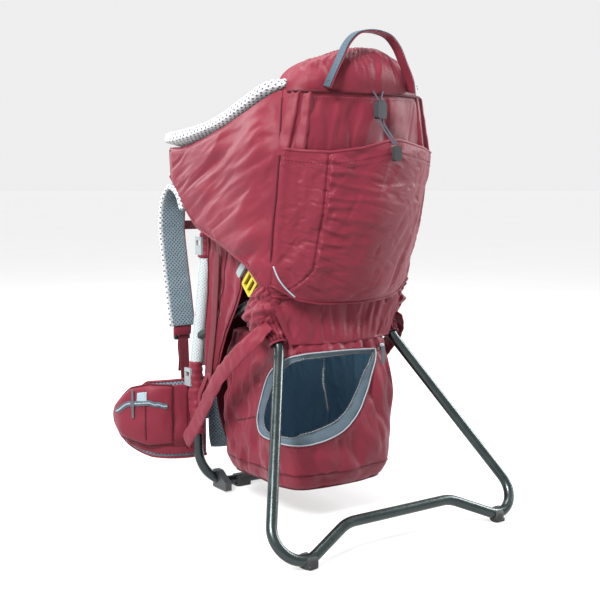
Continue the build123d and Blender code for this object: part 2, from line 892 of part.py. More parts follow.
# ---------------------------------------------------------------- hip belt
WING_T = 14.0
WING_LINE = [(-84.0, 172.0), (-120.0, 174.0), (-156.0, 186.0), (-186.0, 214.0), (-200.0, 250.0), (-198.7, 280.75)]


def plan_ribbon(points, thickness, z_low, z_high):
    """An upright ribbon of constant thickness along a smooth line seen from above."""
    with BuildPart() as ribbon:
        with BuildSketch(Plane.XY.offset(z_low)):
            with BuildLine() as line:
                Spline(*points)
            trace(line.line, line_width=thickness)
        extrude(amount=z_high - z_low)
    return ribbon


def make_hip_wing():
    ribbon = plan_ribbon(WING_LINE, WING_T, 40.0, 200.0)
    with BuildPart() as wing:
        add(ribbon.part)
        with BuildSketch(Plane.YZ.offset(-260)):
            with BuildLine():
                Polyline((150, 50), (200, 56), (240, 72), (290, 98), (290, 130), (240, 152), (205, 184), (150, 190),
                         close=True)
            make_face()
        extrude(amount=220, mode=Mode.INTERSECT)
    return wing


def make_lumbar_pad():
    with BuildPart() as pad:
        with Locations((0, 173, 124)):
            Box(160, 16, 132)
        fillet(pad.edges().filter_by(Axis.Y), 22)
    return pad


POCKET_LINE = [(-150.0, 170.5), (-181.3, 188.1), (-207.0, 220.5), (-215.0, 258.0)]


def make_hip_pocket():
    """Zipped pocket on the outside of the hip wing."""
    ribbon = plan_ribbon(POCKET_LINE, 14.0, 60.0, 186.0)
    wing = plan_ribbon(WING_LINE, WING_T + 1.0, 30.0, 210.0)
    with BuildPart() as pocket:
        add(ribbon.part)
        with BuildSketch(Plane.YZ.offset(-260)):
            with BuildLine():
                Polyline((140, 84), (190, 76), (240, 92), (262, 112), (258, 140), (216, 176), (190, 184), (140, 176),
                         close=True)
            make_face()
        extrude(amount=220, mode=Mode.INTERSECT)
        add(wing.part, mode=Mode.SUBTRACT)
    return pocket


def make_hip_zip():
    """Zip tape along the outside of the hip pocket."""
    with BuildPart() as tape:
        with BuildSketch(Plane.XY.offset(146)):
            with BuildLine() as line:
                Spline(*pocket_outline(7.8, 0.25, 0.9))
            trace(line.line, line_width=1.0)
        extrude(amount=8)
    return tape


def pocket_outline(off, start, end, count=9):
    """Points off outside the pocket's spine between two fractions of its length."""
    with BuildLine() as line:
        Spline(*POCKET_LINE)
    points = []
    for i in range(count):
        t = start + (end - start) * i / (count - 1)
        at, way = line.line @ t, line.line % t
        points.append((at.X - way.Y * off, at.Y + way.X * off))
    return points


HIP_SLIDER_T = 0.55


def make_hip_slider():
    """Slider and short pull of the hip pocket's zip."""
    with BuildLine() as line:
        Spline(*POCKET_LINE)
    way = line.line % HIP_SLIDER_T
    (x, y), = pocket_outline(10.4, HIP_SLIDER_T, 1.0, 2)[:1]
    with BuildPart() as slider:
        with BuildSketch(Plane(origin=(x, y, 150), x_dir=(way.X, way.Y, 0), z_dir=(-way.Y, way.X, 0))):
            RectangleRounded(8, 9, 2)
        extrude(amount=2, both=True)
        with BuildSketch(Plane(origin=(x, y, 150), x_dir=(way.X, way.Y, 0), z_dir=(-way.Y, way.X, 0))):
            with Locations((0, -14), (0, 14)):
                Rectangle(4, 20)
        extrude(amount=0.8, both=True)
    return slider


def make_hip_webbing():
    return webbing_strip(-191.0, -42.0, 268.0, 114.0, 38.0)


# ---------------------------------------------------------------- side fabric, straps and stirrups
def make_side_curtain():
    """Fabric web between the upright, the cockpit and the bag."""
    with BuildPart() as curtain:
        with BuildSketch(Plane.YZ.offset(-130.5)):
            with BuildLine():
                Polyline((132, 440), (44, 420), (60, 300), (84, 175), (128, 150), (136, 220), close=True)
            make_face()
        extrude(amount=2)
    return curtain


def make_stirrup():
    """Foot strap: a webbing run down the curtain with a loop at the end."""
    half = WEB / 2
    with BuildPart() as stirrup:
        with BuildSketch(Plane.YZ.offset(-134.0)):
            with BuildLine():
                Polyline((46 - half, 414), (46 + half, 414), (86 + half, 214), (112, 156), (66, 156), (84 - half, 214),
                         close=True)
            make_face()
            with BuildLine():
                Polyline((88, 204), (101, 164), (77, 164), close=True)
            make_face(mode=Mode.SUBTRACT)
        extrude(amount=1.8)
    return stirrup


STABILISER_LINE = [(150.0, 66.0), (118.0, 87.0), (60.0, 150.0), (4.0, 219.0), (-44.0, 262.0), (-82.0, 298.0), (-90.0, 318.0)]


def make_stabiliser():
    """Strap from the cockpit's lower rear corner down to the hip belt."""
    return side_band(STABILISER_LINE, WEB_T / 2, -170.0, -148.0)


SIDE_LOCK_AT = (-140.0, -56.0, 372.0)
SIDE_LOCK_ALONG = Vector(0, -0.72, -0.694).normalized()


def side_lock_plane(x, along=0.0):
    """Sketch plane on the side strap; local x runs down the strap."""
    at = Vector(x, SIDE_LOCK_AT[1], SIDE_LOCK_AT[2]) + SIDE_LOCK_ALONG * along
    return Plane(origin=at, x_dir=SIDE_LOCK_ALONG, z_dir=(-1, 0, 0))


def make_side_strap():
    """Closing strap of the side entry."""
    with BuildPart() as strap:
        with BuildSketch(side_lock_plane(-131.7, -16)):
            Rectangle(70, 24)
        extrude(amount=1.8)
    return strap


def make_side_hook():
    """Flat hook plate at the strap's upper end."""
    with BuildPart() as hook:
        with BuildSketch(side_lock_plane(-133.7, -31)):
            RectangleRounded(12, 34, 3)
        extrude(amount=4.5)
    return hook


def make_side_lock():
    """Ladder lock of the side entry; it tips up to let the strap run."""
    with BuildPart() as lock:
        with BuildSketch(side_lock_plane(-133.7)):
            RectangleRounded(30, 34, 4)
            with Locations((-6, 0), (6.5, 0)):
                Rectangle(7.5, 24, mode=Mode.SUBTRACT)
        extrude(amount=4.5)
    return lock


# ---------------------------------------------------------------- write the pieces
main_frame = make_main_frame()
seat_frame = make_seat_frame(main_frame)
kickstand = make_kickstand()
bracket_left = make_bracket(seat_frame)
sternum_socket, sternum_plug = buckle_pair(STERNUM_Y + 2, STERNUM_Z, 26.0, 24.0, 8.0)
sternum_left = webbing_strip(-92.0, -27.0, STERNUM_Y + 4.6, STERNUM_Z, 16.0)
hip_socket, hip_plug = buckle_pair(268.0, 114.0, 42.0, 46.0, 12.0)
hip_webbing_left = make_hip_webbing()
hip_slider_left = make_hip_slider()
stirrup_left = make_stirrup()
side_lock_left = make_side_lock()

PIECES = {
    "main_frame": main_frame,
    "frame_fittings": group(make_ferrule(), make_stand_clips(main_frame)),
    "inner_frame": group(seat_frame, make_cross_brace(main_frame)),
    "base_pads": make_base_pads(),
    "kickstand_tube": kickstand,
    "kickstand_feet": make_kickstand_feet(kickstand),
    "sleeve_cuffs": pair(make_cuff(-1)),
    "hinge_brackets": pair(bracket_left),
    "hinge_pins": make_hinge_pins(),
    "cockpit_shell": make_cockpit_shell(),
    "rim_padding": make_rim_padding(),
    "head_dome": make_head_dome(),
    "cockpit_pads": group(make_head_rest(), make_chin_pad()),
    "front_wall": make_front_wall(),
    "rear_pocket": make_rear_pocket(),
    "kickstand_sleeves": pair(make_sleeve(seat_frame, bracket_left)),
    "seat_pad": make_seat_pad(),
    "seat_board": make_seat_board(),
    "harness_pads": make_harness_pads(),
    "harness_buckle": make_harness_buckle(),
    "harness_button": make_harness_button(),
    "crotch_strap": make_crotch_strap(),
    "grab_handle": make_grab_handle(),
    "drawcord": make_drawcord(),
    "cord_lock": make_cord_lock(),
    "cord_lock_button": make_cord_lock_button(),
    "cord_end": make_cord_end(),
    "storage_bag": make_storage_bag(),
    "zip_tracks": group(make_bag_zip(), pair(make_hip_zip())),
    "bag_zip_slider": make_zip_slider(),
    "bag_zip_pull": make_zip_pull(),
    "back_mesh": make_back_mesh(),
    "mesh_buckles": make_mesh_buckles(),
    "frame_sleeves": pair(make_frame_sleeve(-1)),
    "length_track": make_length_track(),
    "yoke": make_yoke(),
    "shoulder_straps": pair(make_shoulder_strap()),
    "strap_buckles": pair(make_strap_buckle()),
    "strap_webbings": pair(make_strap_webbing()),
    "lifter_buckles": pair(make_lifter_buckle()),
    "lifter_webbings": pair(make_lifter_webbing()),
    "sternum_fittings": group(make_sternum_sliders(), sternum_socket),
    "sternum_webbing_left": sternum_left,
    "sternum_webbing_right": mirrored_x(sternum_left),
    "sternum_plug": sternum_plug,
    "lumbar_pad": make_lumbar_pad(),
    "hip_wings": pair(make_hip_wing()),
    "hip_pockets": pair(make_hip_pocket()),
    "hip_slider_left": hip_slider_left,
    "hip_slider_right": mirrored_x(hip_slider_left),
    "hip_webbing_right": mirrored_x(hip_webbing_left),
    "hip_socket": hip_socket,
    "hip_plug": hip_plug,
    "side_curtains": pair(make_side_curtain()),
    "stirrup_left": stirrup_left,
    "stirrup_right": mirrored_x(stirrup_left),
    "side_bands": group(pair(make_stabiliser()), pair(make_side_strap()), hip_webbing_left),
    "side_hooks": pair(make_side_hook()),
    "side_lock_left": side_lock_left,
    "side_lock_right": mirrored_x(side_lock_left),
}

for piece_name, piece in PIECES.items():
    save(piece, piece_name)
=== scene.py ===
"""Child carrier backpack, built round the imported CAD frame. Metres in Blender; tables below are in millimetres."""

import math

import bmesh
import bpy
import numpy as np
from mathutils import Matrix, Vector, noise


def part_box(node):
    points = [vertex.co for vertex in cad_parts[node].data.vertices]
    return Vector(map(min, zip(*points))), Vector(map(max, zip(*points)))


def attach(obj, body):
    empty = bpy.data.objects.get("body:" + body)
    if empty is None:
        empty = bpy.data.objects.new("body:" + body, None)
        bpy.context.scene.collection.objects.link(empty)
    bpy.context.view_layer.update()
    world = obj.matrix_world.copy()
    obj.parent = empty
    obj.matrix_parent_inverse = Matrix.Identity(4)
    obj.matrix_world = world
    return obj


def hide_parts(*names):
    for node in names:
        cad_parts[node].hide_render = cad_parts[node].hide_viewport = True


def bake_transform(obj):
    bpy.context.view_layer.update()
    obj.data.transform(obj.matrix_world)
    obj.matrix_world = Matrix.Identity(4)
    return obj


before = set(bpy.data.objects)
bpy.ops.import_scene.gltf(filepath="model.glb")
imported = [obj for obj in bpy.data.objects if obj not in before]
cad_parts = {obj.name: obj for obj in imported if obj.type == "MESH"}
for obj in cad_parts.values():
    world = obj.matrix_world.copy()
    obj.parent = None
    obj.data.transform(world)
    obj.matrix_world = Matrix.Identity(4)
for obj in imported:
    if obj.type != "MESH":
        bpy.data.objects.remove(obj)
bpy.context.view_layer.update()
MM = 0.001
noise.seed_set(11)  # or noise_vector takes its offsets from the clock


# ---------------------------------------------------------------- materials
STUDIO = 0.5  # share of a seen colour that is the surface's own, under this light


def srgb(r, g, b, own=STUDIO):
    def lin(c):
        c /= 255
        return c / 12.92 if c <= 0.04045 else ((c + 0.055) / 1.055) ** 2.4

    return (lin(r) * own, lin(g) * own, lin(b) * own, 1.0)


class Nodes:
    """Small helper for building a node tree."""

    def __init__(self, name):
        self.mat = bpy.data.materials.new(name)
        self.mat.use_nodes = True
        self.tree = self.mat.node_tree
        self.bsdf = self.tree.nodes["Principled BSDF"]
        self.coord = self.add("ShaderNodeTexCoord")

    def add(self, kind, **settings):
        node = self.tree.nodes.new(kind)
        for key, value in settings.items():
            if key in node.inputs:
                node.inputs[key].default_value = value
            else:
                setattr(node, key, value)
        return node

    def link(self, a, b):
        self.tree.links.new(a, b)

    def coords(self, use_uv, scale=(1, 1, 1), turn=0.0):
        mapping = self.add("ShaderNodeMapping")
        mapping.inputs["Scale"].default_value = scale
        mapping.inputs["Rotation"].default_value = (0, 0, turn)
        self.link(self.coord.outputs["UV" if use_uv else "Object"], mapping.inputs["Vector"])
        return mapping.outputs["Vector"]

    def ramp(self, source, stops):
        node = self.add("ShaderNodeValToRGB")
        ramp = node.color_ramp
        while len(ramp.elements) < len(stops):
            ramp.elements.new(0.5)
        for element, (position, colour) in zip(ramp.elements, stops):
            element.position = position
            element.color = colour if len(colour) == 4 else (*colour, 1)
        self.link(source, node.inputs["Fac"])
        return node.outputs["Color"]

    def math(self, operation, a, b):
        node = self.add("ShaderNodeMath", operation=operation)
        for slot, value in zip(node.inputs, (a, b)):
            if isinstance(value, (int, float)):
                slot.default_value = value
            else:
                self.link(value, slot)
        return node.outputs[0]

    def bump(self, heights):
        """heights: list of (socket, strength, distance in metres), stacked."""
        last = None
        for height, strength, distance in heights:
            node = self.add("ShaderNodeBump")
            node.inputs["Strength"].default_value = strength
            node.inputs["Distance"].default_value = distance
            self.link(height, node.inputs["Height"])
            if last is not None:
                self.link(last, node.inputs["Normal"])
            last = node.outputs["Normal"]
        self.link(last, self.bsdf.inputs["Normal"])

    def noise(self, vector, scale, detail=3.0, rough=0.5):
        node = self.add("ShaderNodeTexNoise")
        node.inputs["Scale"].default_value = scale
        node.inputs["Detail"].default_value = detail
        node.inputs["Roughness"].default_value = rough
        self.link(vector, node.inputs["Vector"])
        return node.outputs["Fac"]

    def wave(self, vector, scale, direction, distortion=0.0):
        node = self.add("ShaderNodeTexWave", wave_type="BANDS", bands_direction=direction)
        node.inputs["Scale"].default_value = scale
        node.inputs["Distortion"].default_value = distortion
        self.link(vector, node.inputs["Vector"])
        return node.outputs["Fac"]

    def colour_between(self, factor, dark, light):
        return self.ramp(factor, [(0.25, dark), (0.75, light)])

    def finish(self, colour, rough, **extra):
        if isinstance(colour, tuple):
            self.bsdf.inputs["Base Color"].default_value = colour
        else:
            self.link(colour, self.bsdf.inputs["Base Color"])
        if isinstance(rough, (int, float)):
            self.bsdf.inputs["Roughness"].default_value = rough
        else:
            self.link(rough, self.bsdf.inputs["Roughness"])
        for key, value in extra.items():
            self.bsdf.inputs[key].default_value = value
        return self.mat


def scaled(colour, k):
    return tuple(min(1.0, c * k) for c in colour[:3]) + (1.0,)


def fabric(name, colour, use_uv=True, sheen=0.35, rough=0.55, weave=1400.0, crease=0.0006, vary=0.12,
           tint=(1.0, 0.58, 0.66, 1.0)):
    """Plain-woven polyester: fine weave, faint mottling, low creases and a soft sheen."""
    n = Nodes(name)
    at = n.coords(use_uv)
    solid = n.coords(False)
    mottled = n.noise(solid, 9.0, 4.0)
    thread = n.noise(solid, 260.0, 2.0)
    mix = n.math("ADD", n.math("MULTIPLY", mottled, 0.7), n.math("MULTIPLY", thread, 0.3))
    base = n.colour_between(mix, scaled(colour, 1 - vary), scaled(colour, 1 + vary))
    warp = n.wave(at, weave, "X")
    weft = n.wave(at, weave, "Y")
    cloth = n.math("MULTIPLY", warp, weft)
    n.bump([(n.noise(solid, 38.0, 5.0, 0.6), 0.35, crease), (cloth, 0.25, 0.0002)])
    roughness = n.ramp(mottled, [(0.2, (rough - 0.06,) * 3), (0.8, (rough + 0.08,) * 3)])
    return n.finish(
        base,
        roughness,
        **{"Sheen Weight": sheen, "Sheen Roughness": 0.45, "Specular IOR Level": 0.14,
           "Sheen Tint": tint},
    )


def spacer_mesh(name, ground, hole_shade, pitch_mm=4.2, hole_size=0.28, use_uv=True, rough=0.8):
    """Knitted spacer mesh: a staggered grid of small holes in a soft ground, the holes coloured darker as painted
    shade.
    """
    n = Nodes(name)
    scale = 1.0 / (pitch_mm * MM)
    at = n.coords(use_uv, (scale, scale, scale), math.radians(45))
    cell = n.add("ShaderNodeTexVoronoi", feature="F1")
    cell.inputs["Scale"].default_value = 1.0
    cell.inputs["Randomness"].default_value = 0.08
    n.link(at, cell.inputs["Vector"])
    dist = cell.outputs["Distance"]
    # painted shade: each hole takes the darker hole colour, standing in for the shade inside the mesh
    base = n.ramp(dist, [(hole_size - 0.07, hole_shade), (hole_size + 0.07, ground)])
    knit = n.wave(n.coords(use_uv), 900.0, "DIAGONAL")
    height = n.ramp(dist, [(hole_size - 0.12, (0, 0, 0)), (hole_size + 0.16, (1, 1, 1))])
    n.bump([(height, 0.8, 0.0012), (knit, 0.3, 0.0003)])
    return n.finish(base, rough, **{"Sheen Weight": 0.1, "Specular IOR Level": 0.2})


def webbing(name, colour, edge=None, use_uv=True, rough=0.6):
    """Woven strap: ribs along it and a herringbone across."""
    n = Nodes(name)
    at = n.coords(use_uv)
    rib = n.wave(at, 330.0, "Y")
    cross = n.wave(at, 520.0, "X", 0.0)
    diagonal = n.wave(at, 420.0, "DIAGONAL")
    mix = n.math("MULTIPLY", n.math("ADD", cross, diagonal), 0.5)
    base = n.colour_between(mix, scaled(colour, 0.8), scaled(colour, 1.25))
    n.bump([(rib, 0.3, 0.0004), (diagonal, 0.35, 0.0004)])
    return n.finish(base, rough, **{"Sheen Weight": 0.04, "Specular IOR Level": 0.2})


def plastic(name, colour, rough=0.42, grain=900.0, clear=0.0):
    """Moulded plastic: fine spark-eroded grain, scuffs in the gloss."""
    n = Nodes(name)
    at = n.coords(False)
    scuff = n.noise(at, 60.0, 6.0, 0.7)
    base = n.colour_between(scuff, scaled(colour, 0.9), scaled(colour, 1.12))
    n.bump([(n.noise(at, grain, 2.0), 0.15, 0.0002)])
    roughness = n.ramp(scuff, [(0.3, (rough - 0.07,) * 3), (0.75, (rough + 0.1,) * 3)])
    return n.finish(base, roughness, **{"Coat Weight": clear, "Coat Roughness": 0.2})


def metal(name, colour, rough, metallic=1.0, streak=(40.0, 40.0, 4.0), coat=0.0):
    """Drawn tube: faint lengthwise streaks and handling marks."""
    n = Nodes(name)
    at = n.coords(False, streak)
    lines = n.noise(at, 14.0, 5.0, 0.65)
    marks = n.noise(n.coords(False), 45.0, 6.0, 0.7)
    base = n.colour_between(marks, scaled(colour, 0.86), scaled(colour, 1.14))
    n.bump([(lines, 0.08, 0.0002)])
    roughness = n.ramp(marks, [(0.3, (rough - 0.06,) * 3), (0.8, (rough + 0.12,) * 3)])
    return n.finish(base, roughness, **{"Metallic": metallic, "Coat Weight": coat, "Coat Roughness": 0.15})


MAROON = srgb(131, 40, 57)
MAROON_DARK = srgb(88, 20, 34)
COOL = (0.7, 0.85, 1.0, 1.0)
M = {
    "fabric": fabric("fabric_maroon", MAROON, sheen=0.11, rough=0.46),
    "fabric_solid": fabric("fabric_maroon_plain", MAROON, use_uv=False, sheen=0.11, rough=0.46),
    "fabric_dark": fabric("fabric_maroon_dark", MAROON_DARK, sheen=0.08, rough=0.62),
    # painted light: the lining keeps 0.9 of its seen colour instead of STUDIO's 0.5, lifted to stand in for light
    # inside the bag
    "lining": fabric("lining_teal", srgb(130, 178, 204, 0.9), sheen=0.1, rough=0.6, tint=COOL),
    # the second colour of each spacer mesh is the painted shade in its holes
    "mesh_light": spacer_mesh("spacer_mesh_light", srgb(238, 240, 242), srgb(104, 108, 116), 6.6, 0.27),
    "mesh_pale": spacer_mesh("spacer_mesh_pale", srgb(214, 222, 224), srgb(140, 150, 154), 4.0, 0.2),
    "mesh_blue": spacer_mesh("spacer_mesh_blue", srgb(122, 138, 150), srgb(56, 68, 80), 4.6, 0.3),
    "mesh_strap": spacer_mesh("spacer_mesh_strap", srgb(128, 146, 156), srgb(62, 78, 90), 4.8, 0.28),
    "web_red": webbing("webbing_maroon", srgb(108, 24, 40)),
    "web_blue": webbing("webbing_slate", srgb(94, 120, 128)),
    "web_handle": webbing("webbing_handle", srgb(66, 90, 104)),
    "piping": fabric("piping_light", srgb(168, 178, 184), sheen=0.1, tint=COOL),
    "thread": fabric("thread_maroon", srgb(150, 66, 84), sheen=0.1),
    "thread_dark": fabric("thread_dark", srgb(84, 16, 30), sheen=0.05),
    "zip": plastic("zip_coil", srgb(86, 92, 100), 0.35),
    "zip_tape": webbing("zip_tape", srgb(88, 106, 118)),
    "tube": metal("tube_gunmetal", srgb(56, 63, 63, 1.0), 0.27, 0.9, coat=0.04),
    "tube_base": metal("tube_base", srgb(56, 63, 65, 1.0), 0.27, 0.9, coat=0.04),
    "steel": metal("steel_bright", srgb(190, 190, 192, 1.0), 0.25),
    "dark": plastic("plastic_dark", srgb(62, 66, 70), 0.42),
    "grey": plastic("plastic_grey", srgb(160, 170, 172), 0.4),
    "yellow": plastic("plastic_lime", srgb(204, 192, 22), 0.3, clear=0.3),
    "red": plastic("plastic_red", srgb(190, 34, 36), 0.3, clear=0.4),
    "rubber": plastic("rubber_black", srgb(40, 41, 43), 0.7),
    # pale grey reflector on the hip pouches; the same material also paints the fold highlight strip on the rear pocket
    "reflector_and_highlight": plastic("grey_reflector_and_fold_highlight", srgb(164, 186, 194), 0.3),
    "cord": webbing("cord_slate", srgb(78, 82, 92)),
}


# ---------------------------------------------------------------- geometry helpers
def smooth(points, count):
    """count points along a smooth line through the given ones, evenly spaced by chord length."""
    p = np.asarray(points, float)
    if len(p) == 2:
        t = np.linspace(0, 1, count)[:, None]
        return p[0] * (1 - t) + p[1] * t
    knots = np.concatenate([[0], np.cumsum(np.linalg.norm(np.diff(p, axis=0), axis=1) + 1e-9)])
    slope = np.diff(p, axis=0) / np.diff(knots)[:, None]
    h = np.diff(knots)
    m = np.empty_like(p)
    m[0], m[-1] = slope[0], slope[-1]
    m[1:-1] = (slope[:-1] * h[1:, None] + slope[1:] * h[:-1, None]) / (h[:-1] + h[1:])[:, None]
    at = np.linspace(0, knots[-1], count)
    i = np.clip(np.searchsorted(knots, at, "right") - 1, 0, len(h) - 1)
    s = ((at - knots[i]) / h[i])[:, None]
    hi = h[i][:, None]
    return (
        (2 * s**3 - 3 * s**2 + 1) * p[i]
        + (s**3 - 2 * s**2 + s) * hi * m[i]
        + (-2 * s**3 + 3 * s**2) * p[i + 1]
        + (s**3 - s**2) * hi * m[i + 1]
    )


def surface(rows, nu, nv):
    """A grid [nv, nu, 3] through rows of control points."""
    across = np.array([smooth(row, nu) for row in rows])
    grid = np.empty((nv, nu, 3))
    for i in range(nu):
        grid[:, i] = smooth(across[:, i], nv)
    return grid


def normals(grid, flip=False):
    du = np.gradient(grid, axis=1)
    dv = np.gradient(grid, axis=0)
    n = np.cross(du, dv)
    n /= np.linalg.norm(n, axis=2, keepdims=True) + 1e-12
    return -n if flip else n


def ripples(grid, size, seed, stretch=(1, 1, 1)):
    """Smooth noise over a grid, about -1 to 1, with features of that size in mm."""
    flat = grid.reshape(-1, 3)
    out = np.empty(len(flat))
    off = Vector((seed * 7.31, seed * 3.17, seed * 5.71))
    s = Vector(stretch) / size
    for i, p in enumerate(flat):
        out[i] = noise.noise(Vector((p[0] * s[0], p[1] * s[1], p[2] * s[2])) + off)
    return out.reshape(grid.shape[:2]) * 1.6


def drawn(grid, along, size, seed, stretch=4.5, sharp=0.6):
    """Wrinkles pulled out along one direction: size is their width in mm; sharp turns them into creases."""
    a = Vector(along).normalized()
    off = Vector((seed * 3.13, seed * 5.91, seed * 2.37))
    flat = grid.reshape(-1, 3)
    out = np.empty(len(flat))
    for i, p in enumerate(flat):
        p = Vector(p)
        run = p.dot(a)
        q = (p - a * run) / size + a * (run / (size * stretch)) + off
        n = noise.noise(q + noise.noise_vector(q * 0.45) * 0.55)
        out[i] = n * (1 - sharp) * 1.7 + sharp * (0.34 - abs(n) * 1.9)
    return out.reshape(grid.shape[:2])


def border(nv, nu, edge=0.08):
    """1 inside a patch, falling smoothly to 0 at its edges."""
    u = np.linspace(0, 1, nu)[None, :]
    v = np.linspace(0, 1, nv)[:, None]
    ramp = lambda t: np.clip(np.minimum(t, 1 - t) / edge, 0, 1)
    w = ramp(u) * ramp(v)
    return w * w * (3 - 2 * w)


def make(name, verts, faces, material, body, replaces=(), uv=None, smooth_shade=True):
    """A mesh piece from millimetre vertices, riding on a body."""
    mesh = bpy.data.meshes.new(name)
    mesh.from_pydata([tuple(v) for v in np.asarray(verts, float) * MM], [], [tuple(f) for f in faces])
    if uv is not None:
        layer = mesh.uv_layers.new(name="UVMap")
        for loop in mesh.loops:
            layer.data[loop.index].uv = uv[loop.vertex_index]
    mesh.polygons.foreach_set("use_smooth", [smooth_shade] * len(mesh.polygons))
    mesh.materials.append(M[material])
    obj = bpy.data.objects.new(name, mesh)
    bpy.context.scene.collection.objects.link(obj)
    if body:
        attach(obj, body)
    if replaces:
        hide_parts(*([replaces] if isinstance(replaces, str) else replaces))
    return obj


def grid_faces(nv, nu, wrap_u=False, wrap_v=False):
    faces = []
    for j in range(nv if wrap_v else nv - 1):
        for i in range(nu if wrap_u else nu - 1):
            a, b = j * nu + i, j * nu + (i + 1) % nu
            c, d = ((j + 1) % nv) * nu + (i + 1) % nu, ((j + 1) % nv) * nu + i
            faces.append((a, b, c, d))
    return faces


def metric_uv(grid):
    """Texture coordinates in metres, from the lengths along the middle row and column."""
    nv, nu = grid.shape[:2]
    du = np.concatenate([[0], np.cumsum(np.linalg.norm(np.diff(grid[nv // 2], axis=0), axis=1))])
    dv = np.concatenate([[0], np.cumsum(np.linalg.norm(np.diff(grid[:, nu // 2], axis=0), axis=1))])
    u, v = np.meshgrid(du * MM, dv * MM)
    return np.stack([u.ravel(), v.ravel()], 1)


def thicken(obj, mm, offset=-1.0, levels=1):
    solid = obj.modifiers.new("thickness", "SOLIDIFY")
    solid.thickness = mm * MM
    solid.offset = offset
    solid.use_even_offset = False
    if levels:
        sub = obj.modifiers.new("smooth", "SUBSURF")
        sub.levels = sub.render_levels = levels
    return obj


def panel(name, grid, material, body, thickness=1.6, replaces=(), wrap_u=False, levels=1, offset=-1.0):
    nv, nu = grid.shape[:2]
    obj = make(name, grid.reshape(-1, 3), grid_faces(nv, nu, wrap_u), material, body, replaces, metric_uv(grid))
    return thicken(obj, thickness, offset, levels)


def mirror_grid(grid):
    out = grid.copy()
    out[..., 0] *= -1
    return out[:, ::-1]


def frames_along(path, up=(0, 0, 1)):
    """Unit tangent, side and up vectors along a polyline, the up vector kept near the one given."""
    p = np.asarray(path, float)
    t = np.gradient(p, axis=0)
    t /= np.linalg.norm(t, axis=1, keepdims=True)
    ups = np.broadcast_to(np.asarray(up, float), p.shape)
    side = np.cross(t, ups)
    side /= np.linalg.norm(side, axis=1, keepdims=True) + 1e-9
    return t, side, np.cross(side, t)


def tube(name, path, radius, material, body, replaces=(), sides=12, count=60, profile=None, up=(0, 0, 1), wrinkle=None, closed=False):
    """A round or profiled tube along a smooth path. radius may be a function of t (0 to 1)."""
    line = smooth(path, count)
    if closed:
        line = line[:-1]
        t = np.roll(line, -1, 0) - np.roll(line, 1, 0)
        t /= np.linalg.norm(t, axis=1, keepdims=True)
        side = np.cross(t, np.asarray(up, float))
        side /= np.linalg.norm(side, axis=1, keepdims=True)
        lift = np.cross(side, t)
    else:
        t, side, lift = frames_along(line, up)
    n = len(line)
    angle = np.linspace(0, 2 * np.pi, sides, endpoint=False)
    shape = np.stack([np.cos(angle), np.sin(angle)], 1) if profile is None else np.asarray(profile, float)
    rings = []
    for i in range(n):
        f = i / max(1, n - 1)
        r = radius(f) if callable(radius) else radius
        rings.append(line[i] + r * (shape[:, :1] * side[i] + shape[:, 1:] * lift[i]))
    grid = np.array(rings)
    if wrinkle is not None:
        grid = grid + wrinkle(grid, side, lift)
    k = len(shape)
    faces = grid_faces(n, k, wrap_u=True, wrap_v=closed)
    verts = grid.reshape(-1, 3)
    if not closed:
        faces += [tuple(reversed(range(k))), tuple((n - 1) * k + i for i in range(k))]
    length = np.concatenate([[0], np.cumsum(np.linalg.norm(np.diff(line, axis=0), axis=1))]) * MM
    round_it = np.vstack([shape, shape[:1]]) * (radius(0.5) if callable(radius) else radius) * MM
    around = np.concatenate([[0], np.cumsum(np.linalg.norm(np.diff(round_it, axis=0), axis=1))])
    uv = [(length[i], around[j]) for i in range(n) for j in range(k)]
    return make(name, verts, faces, material, body, replaces, uv)


def rounded_profile(half_width, half_height, power=4.0, sides=24):
    a = np.linspace(0, 2 * np.pi, sides, endpoint=False)
    c, s = np.cos(a), np.sin(a)
    e = 2.0 / power
    return np.stack([half_width * np.sign(c) * np.abs(c) ** e, half_height * np.sign(s) * np.abs(s) ** e], 1)


def strap(name, path, width, thickness, material, body, replaces=(), up=(0, 0, 1), count=60, power=6.0, twist=None, sides=20):
    """Flat strap along a path; up is the direction its flat face looks."""
    line = smooth(path, count)
    t, side, lift = frames_along(line, up)
    shape = rounded_profile(width / 2, thickness / 2, power, sides)
    grid = []
    for i in range(count):
        a = twist(i / (count - 1)) if twist else 0.0
        s = side[i] * math.cos(a) + lift[i] * math.sin(a)
        l = -side[i] * math.sin(a) + lift[i] * math.cos(a)
        grid.append(line[i] + shape[:, :1] * s + shape[:, 1:] * l)
    grid = np.array(grid)
    k = len(shape)
    faces = grid_faces(count, k, wrap_u=True) + [tuple(reversed(range(k))), tuple((count - 1) * k + i for i in range(k))]
    length = np.concatenate([[0], np.cumsum(np.linalg.norm(np.diff(line, axis=0), axis=1))]) * MM
    around = np.concatenate([[0], np.cumsum(np.linalg.norm(np.diff(np.vstack([shape, shape[:1]]), axis=0), axis=1))]) * MM
    uv = [(length[i], around[j]) for i in range(count) for j in range(k)]
    return make(name, grid.reshape(-1, 3), faces, material, body, replaces, uv)


